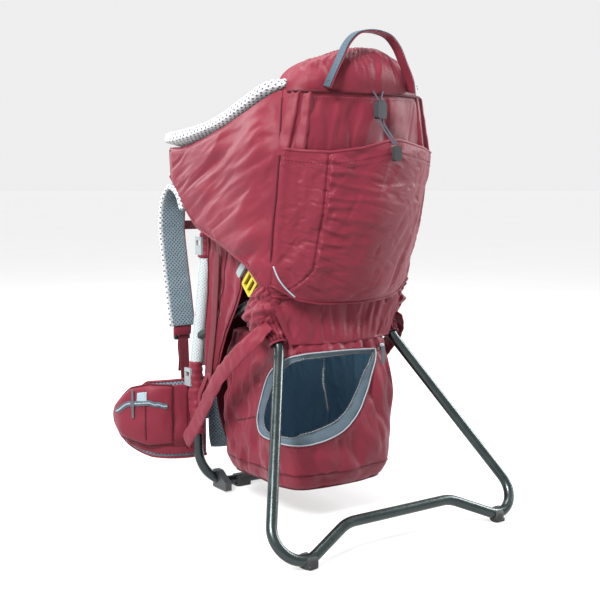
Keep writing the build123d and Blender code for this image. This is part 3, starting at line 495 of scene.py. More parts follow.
def stitches(name, path, body, material="thread", length=3.2, gap=2.2, radius=0.45, lift=None):
    """A row of stitches: small rounded dashes along a line."""
    p = np.asarray(path, float)
    knots = np.concatenate([[0], np.cumsum(np.linalg.norm(np.diff(p, axis=0), axis=1))])
    total = knots[-1]
    verts, faces = [], []
    at = gap
    while at + length < total:
        a = np.array([np.interp(at, knots, p[:, k]) for k in range(3)])
        b = np.array([np.interp(at + length, knots, p[:, k]) for k in range(3)])
        d = (b - a) / (np.linalg.norm(b - a) + 1e-9)
        ref = np.array([0, 0, 1.0]) if abs(d[2]) < 0.9 else np.array([1.0, 0, 0])
        s = np.cross(d, ref)
        s /= np.linalg.norm(s)
        l = np.cross(s, d)
        for centre, r in ((a, 0.3), (a * 0.75 + b * 0.25, 1.0), (a * 0.25 + b * 0.75, 1.0), (b, 0.3)):
            for k in range(6):
                ang = k * math.pi / 3
                verts.append(centre + radius * r * (math.cos(ang) * s + math.sin(ang) * l))
        base = len(verts) - 24
        for ring in range(3):
            for k in range(6):
                q = base + ring * 6
                faces.append((q + k, q + (k + 1) % 6, q + 6 + (k + 1) % 6, q + 6 + k))
        faces.append(tuple(base + 5 - k for k in range(6)))
        faces.append(tuple(base + 18 + k for k in range(6)))
        at += length + gap
    return make(name, verts, faces, material, body, ())


def grid_line(grid, v=None, u=None, lift=0.0, flip=False, start=0.0, end=1.0):
    """A line of points on a grid at a fixed v or u fraction, raised along the normal."""
    nrm = normals(grid, flip)
    nv, nu = grid.shape[:2]
    if v is not None:
        j = v * (nv - 1)
        j0 = min(int(j), nv - 2)
        f = j - j0
        pts = (grid[j0] + nrm[j0] * lift) * (1 - f) + (grid[j0 + 1] + nrm[j0 + 1] * lift) * f
    else:
        i = u * (nu - 1)
        i0 = min(int(i), nu - 2)
        f = i - i0
        pts = (grid[:, i0] + nrm[:, i0] * lift) * (1 - f) + (grid[:, i0 + 1] + nrm[:, i0 + 1] * lift) * f
    n = len(pts)
    return pts[int(start * (n - 1)) : int(end * (n - 1)) + 1]


def repaint(node, material, bevel=0.0):
    """Gives a CAD node its Blender material, and softens its edges."""
    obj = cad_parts[node]
    obj.data.materials.clear()
    obj.data.materials.append(M[material])
    if bevel:
        mod = obj.modifiers.new("edges", "BEVEL")
        mod.width = bevel * MM
        mod.segments = 2
        mod.limit_method = "ANGLE"
        mod.angle_limit = math.radians(35)
    return obj


def swell(obj, pressure=4.0, frames=20, cap=8.0, voxel=5.0, keep=None):
    """Pads out a closed mesh with the cloth solver, no point moving more than cap mm."""
    bpy.context.view_layer.objects.active = obj
    remesh = obj.modifiers.new("remesh", "REMESH")
    remesh.mode = "VOXEL"
    remesh.voxel_size = voxel * MM
    apply_modifiers(obj)
    start = np.array([v.co for v in obj.data.vertices])
    cloth = obj.modifiers.new("cloth", "CLOTH")
    cloth.settings.use_pressure = True
    cloth.settings.uniform_pressure_force = pressure
    cloth.settings.effector_weights.gravity = 0
    cloth.settings.quality = 4
    cloth.point_cache.frame_start, cloth.point_cache.frame_end = 1, frames
    scene = bpy.context.scene
    for f in range(1, frames + 1):
        scene.frame_set(f)
    dg = bpy.context.evaluated_depsgraph_get()
    moved = np.array([v.co for v in obj.evaluated_get(dg).data.vertices])
    obj.modifiers.remove(cloth)
    scene.frame_set(1)
    step = moved - start
    size = np.linalg.norm(step, axis=1, keepdims=True)
    step *= np.minimum(1, cap * MM / (size + 1e-9))
    obj.data.vertices.foreach_set("co", (start + step).astype(np.float32).ravel())
    obj.data.update()
    obj.data.polygons.foreach_set("use_smooth", [True] * len(obj.data.polygons))
    sub = obj.modifiers.new("smooth", "SUBSURF")
    sub.levels = sub.render_levels = 1
    return obj


def apply_modifiers(obj):
    dg = bpy.context.evaluated_depsgraph_get()
    mesh = bpy.data.meshes.new_from_object(obj.evaluated_get(dg))
    materials = list(obj.data.materials)
    obj.modifiers.clear()
    obj.data = mesh
    if not mesh.materials:
        for material in materials:
            mesh.materials.append(material)
    mesh.polygons.foreach_set("use_smooth", [True] * len(mesh.polygons))


def drape(obj, pinned, frames=24, gravity=1.0, stiffness=15.0, cap=10.0, pressure=0.0, shrink=0.0, bending=0.5):
    """Lets a sheet settle with its pinned points held; no point moves more than cap mm."""
    start = np.array([v.co for v in obj.data.vertices])
    group = obj.vertex_groups.new(name="pin")
    for i in np.nonzero(pinned)[0]:
        group.add([int(i)], 1.0, "REPLACE")
    held = list(obj.modifiers)
    shown = [(m, m.show_viewport) for m in held]
    for m in held:
        m.show_viewport = False
    cloth = obj.modifiers.new("cloth", "CLOTH")
    s = cloth.settings
    s.quality = 6
    s.mass = 0.25
    s.tension_stiffness = s.compression_stiffness = stiffness
    s.shear_stiffness = stiffness * 0.4
    s.bending_stiffness = bending
    s.vertex_group_mass = "pin"
    s.effector_weights.gravity = gravity
    s.shrink_min = s.shrink_max = shrink
    if pressure:
        s.use_pressure = True
        s.uniform_pressure_force = pressure
    cloth.point_cache.frame_start, cloth.point_cache.frame_end = 1, frames
    scene = bpy.context.scene
    for f in range(1, frames + 1):
        scene.frame_set(f)
    dg = bpy.context.evaluated_depsgraph_get()
    moved = np.array([v.co for v in obj.evaluated_get(dg).data.vertices])[: len(start)]
    obj.modifiers.remove(cloth)
    obj.vertex_groups.clear()
    scene.frame_set(1)
    for m, state in shown:
        m.show_viewport = state
    step = moved - start
    size = np.linalg.norm(step, axis=1, keepdims=True)
    step *= np.minimum(1, cap * MM / (size + 1e-9))
    obj.data.vertices.foreach_set("co", (start + step).astype(np.float32).ravel())
    obj.data.update()
    return obj


# ---------------------------------------------------------------- shapes shared by several pieces
COCKPIT_LEVELS = np.array([
    # height, rear half width, corner y, centre y, front half width, front y
    (330.0, 138.0, -84.0, -112.0, 146.0, 40.0),
    (400.0, 141.0, -101.0, -134.0, 152.0, 92.0),
    (490.0, 144.0, -122.0, -160.0, 158.0, 147.0),
    (570.0, 145.0, -138.0, -176.0, 158.0, 154.0),
    (680.0, 116.0, -146.0, -174.0, 140.0, 158.0),
])
RIM_EDGE = np.array([(-160, 655), (-121, 655), (-66, 630), (-9, 609), (50, 590), (112, 579), (170, 580)], float)
HEM_EDGE = np.array([(-160, 346), (-95, 352), (-84, 374), (-70, 396), (-54, 405), (4, 430), (65, 451), (91, 471), (110, 495),
                     (129, 514), (150, 532), (170, 552)], float)


def at_height(table, z):
    return [np.interp(z, table[:, 0], table[:, k]) for k in range(1, table.shape[1])]


def cockpit_ring(z, count=241):
    """The cockpit's outline at one height, from the left front edge round the back to the right one."""
    half, corner, centre, front_half, front = at_height(COCKPIT_LEVELS, z)
    left = [
        (-front_half, front),
        (-(front_half + half) / 2 - 6, (front + corner) / 2),
        (-half - 1, corner + 16),
        (-half + 12, corner - 5),
        (-half * 0.55, corner + (centre - corner) * 0.74),
    ]
    right = [(-x, y) for x, y in reversed(left)]
    return smooth(left + [(0.0, centre)] + right, count)


def cockpit_grid(s0, s1, nu, nv, low=None, high=None, out=0.0):
    """A patch of the cockpit wall between two fractions of its outline."""
    levels = np.linspace(335, 690, 60)
    rings = np.array([cockpit_ring(z) for z in levels])
    span = np.linspace(s0, s1, nu)
    grid = np.empty((nv, nu, 3))
    for i, s in enumerate(span):
        k = s * 240
        k0 = min(int(k), 239)
        column = rings[:, k0] * (1 - (k - k0)) + rings[:, k0 + 1] * (k - k0)
        ends = []
        for edge, fixed in ((HEM_EDGE, low), (RIM_EDGE, high)):
            z = 500.0
            for _ in range(12):
                y = np.interp(z, levels, column[:, 1])
                z = fixed if fixed is not None else np.interp(y, edge[:, 0], edge[:, 1])
            ends.append(z)
        z = np.linspace(ends[0], ends[1], nv)
        grid[:, i, 0] = np.interp(z, levels, column[:, 0])
        grid[:, i, 1] = np.interp(z, levels, column[:, 1])
        grid[:, i, 2] = z
    if out:
        grid = grid + outward(grid) * out
    return grid


def outward(grid, centre=(0.0, 0.0)):
    """Normals of a wall patch that look away from the vertical axis through centre."""
    n = normals(grid)
    away = grid[..., :2] - np.asarray(centre)
    sign = np.sign((n[..., :2] * away).sum(axis=2))
    return n * np.where(sign == 0, 1, sign)[..., None]


def creases(grid, lines):
    """Folds along 3D lines: (start, end, width, depth) in millimetres."""
    out = np.zeros(grid.shape[:2])
    for start, end, width, depth in lines:
        a, b = np.asarray(start, float), np.asarray(end, float)
        ab = b - a
        t = np.clip(((grid - a) @ ab) / (ab @ ab), 0, 1)
        d = np.linalg.norm(grid - (a + t[..., None] * ab), axis=2)
        out += depth * np.exp(-((d / width) ** 2)) * (0.25 + 0.75 * np.sin(np.pi * np.clip(t, 0.05, 0.95)))
    return out


def side_creases(side):
    """The long diagonal pulls in the cockpit's side, from the rim's front towards the rear corner."""
    x = side * 149
    pulls = [
        ((34, 488), (-60, 560), 9, 3.4), ((84, 487), (-10, 548), 8, 2.6), ((4, 443), (-109, 500), 10, 4.2),
        ((-20, 474), (-120, 540), 9, -3.4), ((-34, 422), (-118, 462), 9, 3.6), ((55, 511), (-40, 575), 8, -2.6),
        ((20, 462), (-95, 521), 7, 2.4), ((-60, 408), (-120, 432), 7, -3.0), ((110, 500), (60, 552), 8, 2.2),
        ((-66, 545), (-112, 600), 8, 2.0),
    ]
    return [((x, a[0], a[1]), (x, b[0], b[1]), w, d) for a, b, w, d in pulls]


# ---------------------------------------------------------------- cockpit
def cockpit():
    for name, s0, s1, side in (("left", 0.0, 0.335, -1), ("right", 1.0, 0.665, 1)):
        grid = cockpit_grid(min(s0, s1), max(s0, s1), 150, 84)
        n = outward(grid)
        inside = border(*grid.shape[:2], 0.07)
        push = creases(grid, side_creases(side)) * 1.35 + drawn(grid, (0, -0.82, 0.57), 26, 3, 4.0, 0.55) * 4.8
        push += drawn(grid, (0, -0.9, 0.42), 12, 5, 5.0) * 2.2 + ripples(grid, 60, 3) * 1.6
        grid = grid + n * ((push + 4.0) * inside)[..., None]
        panel(f"cockpit_side_{name}", grid, "fabric", "carrier", 3.0, "cockpit_shell", offset=0.0)
        hem = grid[1, :, :] + n[1] * 0.6
        tube(f"side_hem_{name}", hem[::4], 2.6, "fabric", "carrier", (), 8, 90, up=(side, 0, 0.2))
        for row, tag in ((3, "hem"), (5, "hem2")):
            stitches(f"side_stitch_{tag}_{name}", grid[row] + n[row] * 1.7, "carrier", "thread_dark")
        edge = grid[:, -1] if side < 0 else grid[:, 0]
        out_edge = (outward(grid)[:, -1] if side < 0 else outward(grid)[:, 0]) * 1.5
        tube(f"corner_seam_{name}", (edge + out_edge)[::4], 1.5, "fabric_dark", "carrier", (), 8, 80, up=(side, 0.3, 0))
    rear = cockpit_grid(0.335, 0.665, 120, 76)
    n = outward(rear)
    inside = border(*rear.shape[:2], 0.05)
    rear = rear + n * ((ripples(rear, 40, 8) * 1.8 + drawn(rear, (0.2, 0, 1), 14, 4, 4.0) * 2.4) * inside)[..., None]
    panel("cockpit_rear", rear, "fabric", "carrier", 3.0, "cockpit_shell", offset=0.0)
    lip = cockpit_grid(0.345, 0.655, 60, 5, 645, 655, 2.6)
    tube("cockpit_top_seam", lip[3][::3], 2.2, "fabric_dark", "carrier", (), 8, 90)
    stitches("cockpit_top_stitch", lip[0] + outward(lip)[0] * 1.0, "carrier", "thread")


def gussets():
    """Folded side gussets between the pocket's mouth and the top seam."""
    for name, side in (("left", -1), ("right", 1)):
        rows = []
        for z in np.linspace(560, 652, 9):
            half, corner, centre, _, _ = at_height(COCKPIT_LEVELS, z)
            t = (z - 560) / 92
            x0, x1 = half - 1, half - 44 + 12 * t
            row = []
            for k, f in enumerate(np.linspace(0, 1, 9)):
                x = x0 + (x1 - x0) * f
                y = corner + (centre - corner) * (1 - (x / half) ** 2)
                fold = (0, 5, 8, 3, 1, 6, 9, 4, 0)[k] * (1 - 0.5 * t)
                row.append((side * x, y - 2 - fold, z + 2 * math.sin(k * 1.7 + t * 3)))
            rows.append(row)
        grid = surface(rows, 44, 40)
        grid = grid + outward(grid) * (ripples(grid, 14, 9) * 0.8 * border(40, 44, 0.1))[..., None]
        panel(f"pocket_gusset_{name}", grid, "fabric", "carrier", 1.6, (), offset=0.0)


def cockpit_front():
    """Front wall below the chin, its chin pad and the head rest."""
    rows = [[(-72, 108, 62), (0, 110, 58), (72, 108, 62)], [(-96, 109, 140), (0, 113, 140), (96, 109, 140)],
            [(-98, 108, 300), (0, 110, 300), (98, 108, 300)], [(-84, 108, 470), (0, 106, 470), (84, 108, 470)]]
    grid = surface(rows, 40, 60)
    grid = grid + normals(grid) * ((ripples(grid, 50, 12) * 2.4 + ripples(grid, 18, 2) * 0.5) * border(60, 40, 0.1))[..., None]
    panel("front_panel", grid, "fabric_dark", "carrier", 2.2, "front_wall", offset=0.0)
    for tag, centre, size, bow in (("head_rest_pad", (0, -98, 643), (148, 17, 122), 5), ("chin_pad_pad", (0, 99, 583), (148, 18, 54), 4)):
        pillow(tag, centre, size, bow, "mesh_light", "carrier", "cockpit_pads" if tag.startswith("head") else ())


def pillow(name, centre, size, crown, material, body, replaces=(), quilt=0, seed=1):
    """Crowned pad lying in an upright plane, thin at its sewn edge; size is width, thickness, height."""
    w, t, h = size
    nu, nv = 44, 36
    u, v = np.meshgrid(np.linspace(-1, 1, nu), np.linspace(-1, 1, nv))
    corner = 0.12
    ex, ez = u * (1 - corner * v**4 * 0.5), v * (1 - corner * u**4 * 0.5)
    dome = ((1 - np.abs(u) ** 4) * (1 - np.abs(v) ** 4)) ** 0.5
    grids = []
    for sign in (-1, 1):
        g = np.empty((nv, nu, 3))
        g[..., 0] = centre[0] + ex * w / 2
        g[..., 2] = centre[2] + ez * h / 2
        g[..., 1] = centre[1] + sign * dome * t / 2
        if quilt:
            g[..., 1] -= sign * np.exp(-((np.sin(v * math.pi * quilt / 2) / 0.16) ** 2)) * t * 0.13 * dome
        g[..., 1] += sign * ripples(g, 22, seed) * 0.5 * dome
        grids.append(g if sign < 0 else g[:, ::-1])
    verts = np.vstack([g.reshape(-1, 3) for g in grids])
    faces = grid_faces(nv, nu) + [tuple(i + nu * nv for i in f) for f in grid_faces(nv, nu)]
    uv = np.vstack([metric_uv(g) for g in grids])
    obj = make(name, verts, faces, material, body, replaces, uv)
    weld = bmesh.new()
    weld.from_mesh(obj.data)
    bmesh.ops.remove_doubles(weld, verts=weld.verts, dist=0.0002)
    weld.to_mesh(obj.data)
    weld.free()
    obj.data.polygons.foreach_set("use_smooth", [True] * len(obj.data.polygons))
    return obj


# ---------------------------------------------------------------- rim padding and hood
RIM_PATH = [(-112, -124, 664), (-124, -102, 659), (-134, -50, 637), (-141, -6, 618.5), (-148, 60, 601), (-153, 132, 589),
            (-152, 150, 588)]


def rim():
    """Thick roll of spacer mesh along each side of the cockpit's mouth."""
    profile = rounded_profile(8.0, 15.0, 3.6, 26)

    def quilted(grid, side, lift):
        n = len(grid)
        bumps = ripples(grid, 30, 21)[..., None] * 0.8
        centre = grid.mean(axis=1, keepdims=True)
        away = grid - centre
        away /= np.linalg.norm(away, axis=2, keepdims=True)
        taper = np.clip(np.minimum(np.arange(n), n - 1 - np.arange(n)) / 6, 0, 1)[:, None, None]
        return away * bumps - away * (1 - taper) * 3.0

    for name, side in (("left", -1), ("right", 1)):
        path = [(-side * x, y, z + 4 * max(0.0, (y - 20) / 130)) for x, y, z in RIM_PATH]
        roll = tube(f"rim_roll_{name}", path, lambda f: 1.0 + 0.3 * max(0.0, f - 0.6) / 0.4, "mesh_light", "carrier", "rim_padding",
                    count=110, profile=profile, up=(side, 0, 0.25), wrinkle=quilted)
        low = [(-side * (x - 6.5), y + 1, z - 14) for x, y, z in RIM_PATH]
        tube(f"rim_binding_{name}", low, 2.4, "fabric_dark", "carrier", (), 8, 100, up=(side, 0, 0))


def hood():
    """Head pouch: its rear panel rises over the head rest and gathers on an elastic edge."""
    rows = [
        [(-120, -110, 652), (-119, -136, 652), (-70, -166, 652), (0, -178, 652), (70, -166, 652), (119, -136, 652), (120, -110, 652)],
        [(-114, -100, 668), (-112, -138, 668), (-66, -171, 672), (0, -183, 674), (66, -171, 672), (112, -138, 668), (114, -100, 668)],
        [(-97, -96, 686), (-92, -138, 688), (-56, -166, 696), (0, -178, 700), (56, -166, 696), (92, -138, 688), (97, -96, 686)],
        [(-72, -104, 700), (-66, -136, 704), (-40, -154, 713), (0, -162, 717), (40, -154, 713), (66, -136, 704), (72, -104, 700)],
        [(-62, -96, 700), (-54, -116, 707), (-34, -128, 714), (0, -134, 717), (34, -128, 714), (54, -116, 707), (62, -96, 700)],
        [(-74, -88, 684), (-60, -98, 694), (-36, -110, 702), (0, -114, 704), (36, -110, 702), (60, -98, 694), (74, -88, 684)],
        [(-96, -84, 662), (-70, -92, 664), (-36, -100, 668), (0, -102, 670), (36, -100, 668), (70, -92, 664), (96, -84, 662)],
    ]
    nu, nv = 240, 84
    grid = surface(rows, nu, nv)
    u, v = np.meshgrid(np.linspace(0, 1, nu), np.linspace(0, 1, nv))
    away = grid - np.array([0, -120, 650.0])
    away /= np.linalg.norm(away, axis=2, keepdims=True)
    crest = np.exp(-(((v - 0.55) / 0.2) ** 2))
    jitter = ripples(grid, 30, 31)
    wide = 0.6 + 0.4 * np.clip((0.62 - v) / 0.3, 0, 1)
    gather = np.sin(2 * np.pi * (u * 31 + 0.7 * jitter)) * 2.3 * crest * (0.7 + 0.35 * jitter)
    low_folds = drawn(grid, (0, 0.35, 1), 13, 34, 3.5) * 3.2 * np.exp(-(((v - 0.34) / 0.24) ** 2)) * wide
    pull = creases(grid, [((-98, -140, 684), (-40, -160, 710), 7, 3.0), ((-100, -136, 668), (-70, -165, 676), 6, -2.6),
                          ((96, -140, 682), (44, -160, 708), 7, 3.0), ((-80, -150, 696), (-30, -170, 690), 7, 2.4)])
    grid = grid + away * ((gather + low_folds + pull + ripples(grid, 34, 33) * 1.8) * border(nv, nu, 0.05))[..., None]
    panel("head_pouch", grid, "fabric", "carrier", 2.0, "head_dome", offset=0.0)
    ridge = grid_line(grid, v=0.52, lift=1.2)
    stitches("hood_stitch", ridge[6:-6], "carrier", "thread_dark", 2.4, 2.6)
    tube("hood_elastic", grid[-2][4:-4:5] + np.array([0, 1.5, 0]), 3.4, "fabric_dark", "carrier", (), 8, 120,
         wrinkle=lambda g, s, l: (g - g.mean(axis=1, keepdims=True)) * (0.22 * np.sin(np.arange(len(g)) * 1.9))[:, None, None])


def handle():
    """Grab handle: slate webbing over a maroon backing, its flat side turned outwards, sewn down in two bartacks."""
    side, top, reach = 80.0, 742.5, 176.0
    arch = [(-side, -reach + 4, 659), (-75, -reach + 1, 672), (-60, -reach, 700), (-46, -reach, 724), (-31, -reach, 737), (-12, -reach, top - 0.4)]
    arch += [(-x, y, z) for x, y, z in reversed(arch)]
    turned = lambda f: math.pi / 2
    strap("handle_outer", arch, 16.5, 2.2, "web_handle", "handle", "grab_handle", (0, 1, 0), 110, twist=turned)
    ups = [(x * 0.975, y, z - 2.1 * (1 if z > 700 else 0.4)) for x, y, z in arch]
    strap("handle_inner", ups, 18.5, 1.8, "fabric", "handle", (), (0, 1, 0), 110, twist=turned)
    for name, k in (("left", -1), ("right", 1)):
        foot = [(k * side, -reach - 3.5, 661 + d) for d in (0, 3, 6)]
        stitches(f"handle_bartack_{name}", [(x - 5, y, z) for x, y, z in foot] + [(x + 5, y, z) for x, y, z in reversed(foot)], "handle",
                 "thread_dark")


# ---------------------------------------------------------------- rear pocket
POCKET_TABLE = np.array([
    # height, half width, how far its side and its centre stand off the cockpit's rear wall
    (342.0, 104.0, 8.0, 20.0), (352.0, 118.0, 11.0, 29.0), (368.0, 127.0, 13.0, 35.0), (420.0, 133.0, 12.5, 38.0),
    (470.0, 136.0, 12.0, 40.0), (550.0, 137.5, 12.0, 34.0), (590.0, 137.5, 12.0, 27.0),
])


def pocket_ring(z, count=201):
    half, side_off, centre_off = at_height(POCKET_TABLE, z)
    rear_half, corner, centre, _, _ = at_height(COCKPIT_LEVELS, z)
    edge = corner - (corner - centre) * (1 - (half / rear_half) ** 2) - 2
    deep = centre - 3.5 - centre_off
    left = [(-half - 1, edge + 3), (-half - 1.5, edge - side_off * 0.6), (-half + 9, edge - side_off - 3)]
    left += [(-half * f, deep + (edge - side_off - deep) * f**2) for f in (0.72, 0.5, 0.25)]
    return smooth(left + [(0, deep)] + [(-x, y) for x, y in reversed(left)], count)


def pocket_grid(nu=220, nv=150):
    """The pocket's outer face, its mouth dipping at the left and peaking right of the middle."""
    levels = np.linspace(342, 592, 60)
    rings = np.array([pocket_ring(z) for z in levels])
    grid = np.empty((nv, nu, 3))
    for i, s in enumerate(np.linspace(0, 1, nu)):
        k = s * 200
        k0 = min(int(k), 199)
        column = rings[:, k0] * (1 - (k - k0)) + rings[:, k0 + 1] * (k - k0)
        x = column[48, 0]
        mouth = np.interp(x, [-140, -120, -86, -40, 5, 30, 80, 140], [571, 568, 566, 572, 583, 585, 577, 569])
        foot = np.interp(x, [-140, -128, -112, -86, 0, 86, 112, 128, 140], [372, 364, 350, 344, 342, 344, 350, 364, 372])
        z = np.linspace(foot, mouth, nv)
        grid[:, i, 0] = np.interp(z, levels, column[:, 0])
        grid[:, i, 1] = np.interp(z, levels, column[:, 1])
        grid[:, i, 2] = z
    return grid


def pocket():
    grid = pocket_grid()
    nv, nu = grid.shape[:2]
    n = outward(grid)
    x, z = grid[..., 0], grid[..., 2]
    inside = border(nv, nu, 0.04)
    wave = np.zeros((nv, nu))
    # elastic gathers that start at the seam and fade across the main panel
    gathers = [(556, 548, 60, 2.6), (540, 528, 84, 3.0), (524, 508, 96, 3.2), (507, 490, 100, 3.0), (490, 476, 90, 2.6),
               (472, 462, 110, 2.4), (455, 448, 80, 2.2), (438, 428, 100, 2.0), (420, 414, 70, 1.6), (402, 398, 90, 1.4)]
    for z0, z1, length, depth in gathers:
        t = np.clip((x + 84) / length, 0, 1)
        line = z0 + (z1 - z0) * t + 3 * np.sin(t * 4 + z0)
        wave += 1.25 * depth * np.exp(-(((z - line) / 4.6) ** 2)) * np.where((x > -84) & (t < 1), (1 - t) ** 0.8, 0)
    pulls = [((-86, -160, 380), (-20, -190, 366), 7, 2.2), ((-128, -120, 372), (-96, -150, 352), 6, 3.0), ((-133, -118, 390), (-100, -150, 420), 8, 1.8),
             ((120, -140, 400), (60, -180, 380), 9, 2.0), ((130, -140, 540), (70, -190, 520), 9, -2.0), ((132, -130, 470), (90, -170, 440), 8, -1.8)]
    seam_x = -86 + np.clip((398 - z) / 50, 0, 1) ** 1.3 * -40
    seam = -3.0 * np.exp(-(((x - seam_x) / 2.2) ** 2)) + 1.4 * np.exp(-(((x - seam_x) / 8.0) ** 2))
    near = 0.35 + 0.65 * np.exp(-(((x + 70) / 60) ** 2))
    push = wave + creases(grid, pulls) + seam + ripples(grid, 70, 41) * 2.6 + drawn(grid, (1, 0, -0.22), 9, 42, 5.0) * 2.5 * near
    push += drawn(grid, (0.5, 0, 0.9), 22, 43, 4.0, 0.45) * 2.8
    grid = grid + n * (push * inside)[..., None]
    closing = []
    for lift, depth in ((-2.5, 6.0), (-4.0, 16.0)):
        closing.insert(0, grid[0] - n[0] * depth + np.array([0, 0, lift]))
    whole = np.concatenate([np.array(closing), grid])
    panel("rear_pocket_panel", whole, "fabric", "carrier", 2.2, "rear_pocket")
    n = outward(grid)
    mouth = grid[-1] - n[-1] * 1.1
    tube("pocket_mouth_roll", mouth[::4], 2.3, "fabric", "carrier", (), 8, 130, up=(0, -1, 0.4))
    stitches("pocket_hem_stitch", (grid + n * 0.2)[-12], "carrier", "thread_dark")
    stitches("pocket_hem_stitch_low", (grid + n * 0.2)[-16], "carrier", "thread")
    line = []
    for j in range(3, nv - 6, 3):
        i = int(np.argmin(np.abs(grid[j, :, 0] - seam_x[j, nu // 3])))
        line.append(grid[j, i] + n[j, i] * 0.3)
    stitches("pocket_seam_stitch", np.array(line) + np.array([2.6, -0.3, 0]), "carrier", "thread")
    for tag, column, up in (("left", 2, (-1, 0, 0)), ("right", nu - 3, (1, 0, 0))):
        tube(f"pocket_piping_{tag}", (grid[:, column] + n[:, column] * 0.8)[::5], 2.0, "fabric_dark", "carrier", (), 8, 110, up=up)
    tube("pocket_foot_piping", (grid[0] + n[0] * 0.6)[::5], 1.9, "fabric", "carrier", (), 8, 130)
    # painted highlight: a thin pale grey strip in the reflector material, laid along a fold at the pocket's lower left
    # corner where light catches it
    corner = [grid[k, i] + n[k, i] * 1.2 for k, i in ((22, 6), (13, 12), (6, 20), (2, 28))]
    strap("pocket_painted_fold_highlight", corner, 2.2, 0.9, "reflector_and_highlight", "carrier", (), n[4, 14], 30)


def skirt():
    """Fabric from under the pocket down to the bag, seen in shadow between the kickstand's sleeves."""
    rows = [[(-132, -92, 354), (-70, -112, 354), (0, -120, 354), (70, -112, 354), (132, -92, 354)],
            [(-122, -100, 332), (-64, -112, 330), (0, -116, 330), (64, -112, 330), (122, -100, 332)],
            [(-108, -100, 305), (-58, -113, 305), (0, -117, 304), (58, -113, 305), (108, -100, 305)],
            [(-96, -103, 280), (-50, -115, 279), (0, -119, 278), (50, -115, 279), (96, -103, 280)]]
    grid = surface(rows, 120, 50)
    u = np.linspace(0, 1, 120)[None, :]
    v = np.linspace(0, 1, 50)[:, None]
    hang = np.sin(2 * np.pi * (u * 9 + 0.3 * np.sin(u * 17))) * 1.8 * (1 - v) ** 0.7
    hang += drawn(grid, (0.3, 0, 1), 13, 52, 3.0) * 3.0
    grid = grid + outward(grid) * ((hang + ripples(grid, 30, 51) * 1.8) * border(50, 120, 0.07))[..., None]
    panel("bag_upper_panel", grid, "fabric", "carrier", 2.0, (), offset=0.0)


# ---------------------------------------------------------------- kickstand sleeves
def sleeves():
    """Crumpled sleeve over each kickstand hinge, gathered round the leg by an elastic cuff."""
    # centre x, y, z, half width, half depth
    rings = [(-131, -92, 372, 5, 9), (-128, -84, 362, 14, 24), (-121, -72, 350, 24, 37), (-117, -66, 338, 28, 41), (-115, -65, 322, 27.5, 41),
             (-113, -66, 308, 25, 39), (-112, -70, 299, 23, 35), (-111, -78, 292.5, 18, 24), (-110, -86, 289, 13.5, 14.5),
             (-110, -89.5, 285, 11.0, 11.0), (-110, -92.5, 280.5, 13.6, 13.6)]
    count, sides = 90, 96
    path = smooth([r[:3] for r in rings], count)
    size = smooth([(r[3], r[4], 0) for r in rings], count)
    tilt = smooth([(0, 0, 0)] * 7 + [(0.25, 0, 0), (0.45, 0, 0), (0.58, 0, 0), (0.58, 0, 0)], count)[:, 0]
    angle = np.linspace(0, 2 * np.pi, sides, endpoint=False)
    grid = np.empty((count, sides, 3))
    for j in range(count):
        c, s = np.cos(angle), np.sin(angle)
        e = 0.8 if j < count * 0.6 else 1.0
        dx = size[j, 0] * np.sign(c) * np.abs(c) ** e
        dy = size[j, 1] * np.sign(s) * np.abs(s) ** e
        grid[j, :, 0] = path[j, 0] + dx
        grid[j, :, 1] = path[j, 1] + dy * math.cos(tilt[j])
        grid[j, :, 2] = path[j, 2] - dy * math.sin(tilt[j])
    away = grid - path[:, None, :]
    away /= np.linalg.norm(away, axis=2, keepdims=True) + 1e-9
    t = np.linspace(0, 1, count)[:, None]
    wobble = ripples(grid, 15, 61)
    crumple = ripples(grid, 24, 62, (1, 1, 2.2)) * 3.0 + drawn(grid, (0.5, 0.7, -0.5), 11, 63, 2.6, 0.75) * 4.6 + drawn(grid, (0.4, 0.2, 0.9), 7, 64, 2.4) * 1.6
    pleats = np.sin(angle[None, :] * 13 + wobble * 1.5) * 1.6 * np.exp(-(((t - 0.86) / 0.14) ** 2))
    top_pleats = np.sin(angle[None, :] * 8 + wobble) * 2.0 * np.exp(-(((t - 0.1) / 0.16) ** 2))
    amount = np.clip((1 - t) / 0.2, 0.1, 1) * np.clip(t / 0.08, 0.2, 1)
    grid = grid + away * (crumple * amount + pleats + top_pleats)[..., None]
    for name, side in (("left", -1), ("right", 1)):
        g = grid if side < 0 else mirror_grid(grid)
        closed = np.concatenate([g, g[:, :1]], axis=1)
        obj = panel(f"hinge_sleeve_{name}", closed, "fabric", None, 1.5, (), offset=0.0)
        apply_modifiers(obj)
        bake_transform(obj)
        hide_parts("kickstand_sleeves", "sleeve_cuffs")
        a = np.linspace(0, 2 * np.pi, 37)
        ring = [(side * 110 + 11.2 * math.cos(k), -89.6 + 11.2 * math.sin(k) * 0.84, 285.2 - 11.2 * math.sin(k) * 0.55) for k in a]
        tube(f"cuff_elastic_{name}", ring, 1.5, "fabric_dark", "kickstand", (), 8, 60, closed=True, up=(0, 0.55, 0.84))

# ---------------------------------------------------------------- storage bag
BAG_TABLE = np.array([
    # height, half width, front y, rear y, rear bulge
    (50.0, 84.0, 78.0, -98.0, 10.0), (56.0, 91.0, 83.0, -105.0, 12.0), (80.0, 99.0, 88.0, -113.0, 16.0), (130.0, 102.5, 90.5, -115.0, 17.0),
    (180.0, 104.0, 92.0, -115.0, 16.0), (245.0, 100.0, 90.0, -112.0, 14.0), (283.0, 90.0, 86.0, -104.0, 12.0),
])
BAG_RINGS = 320
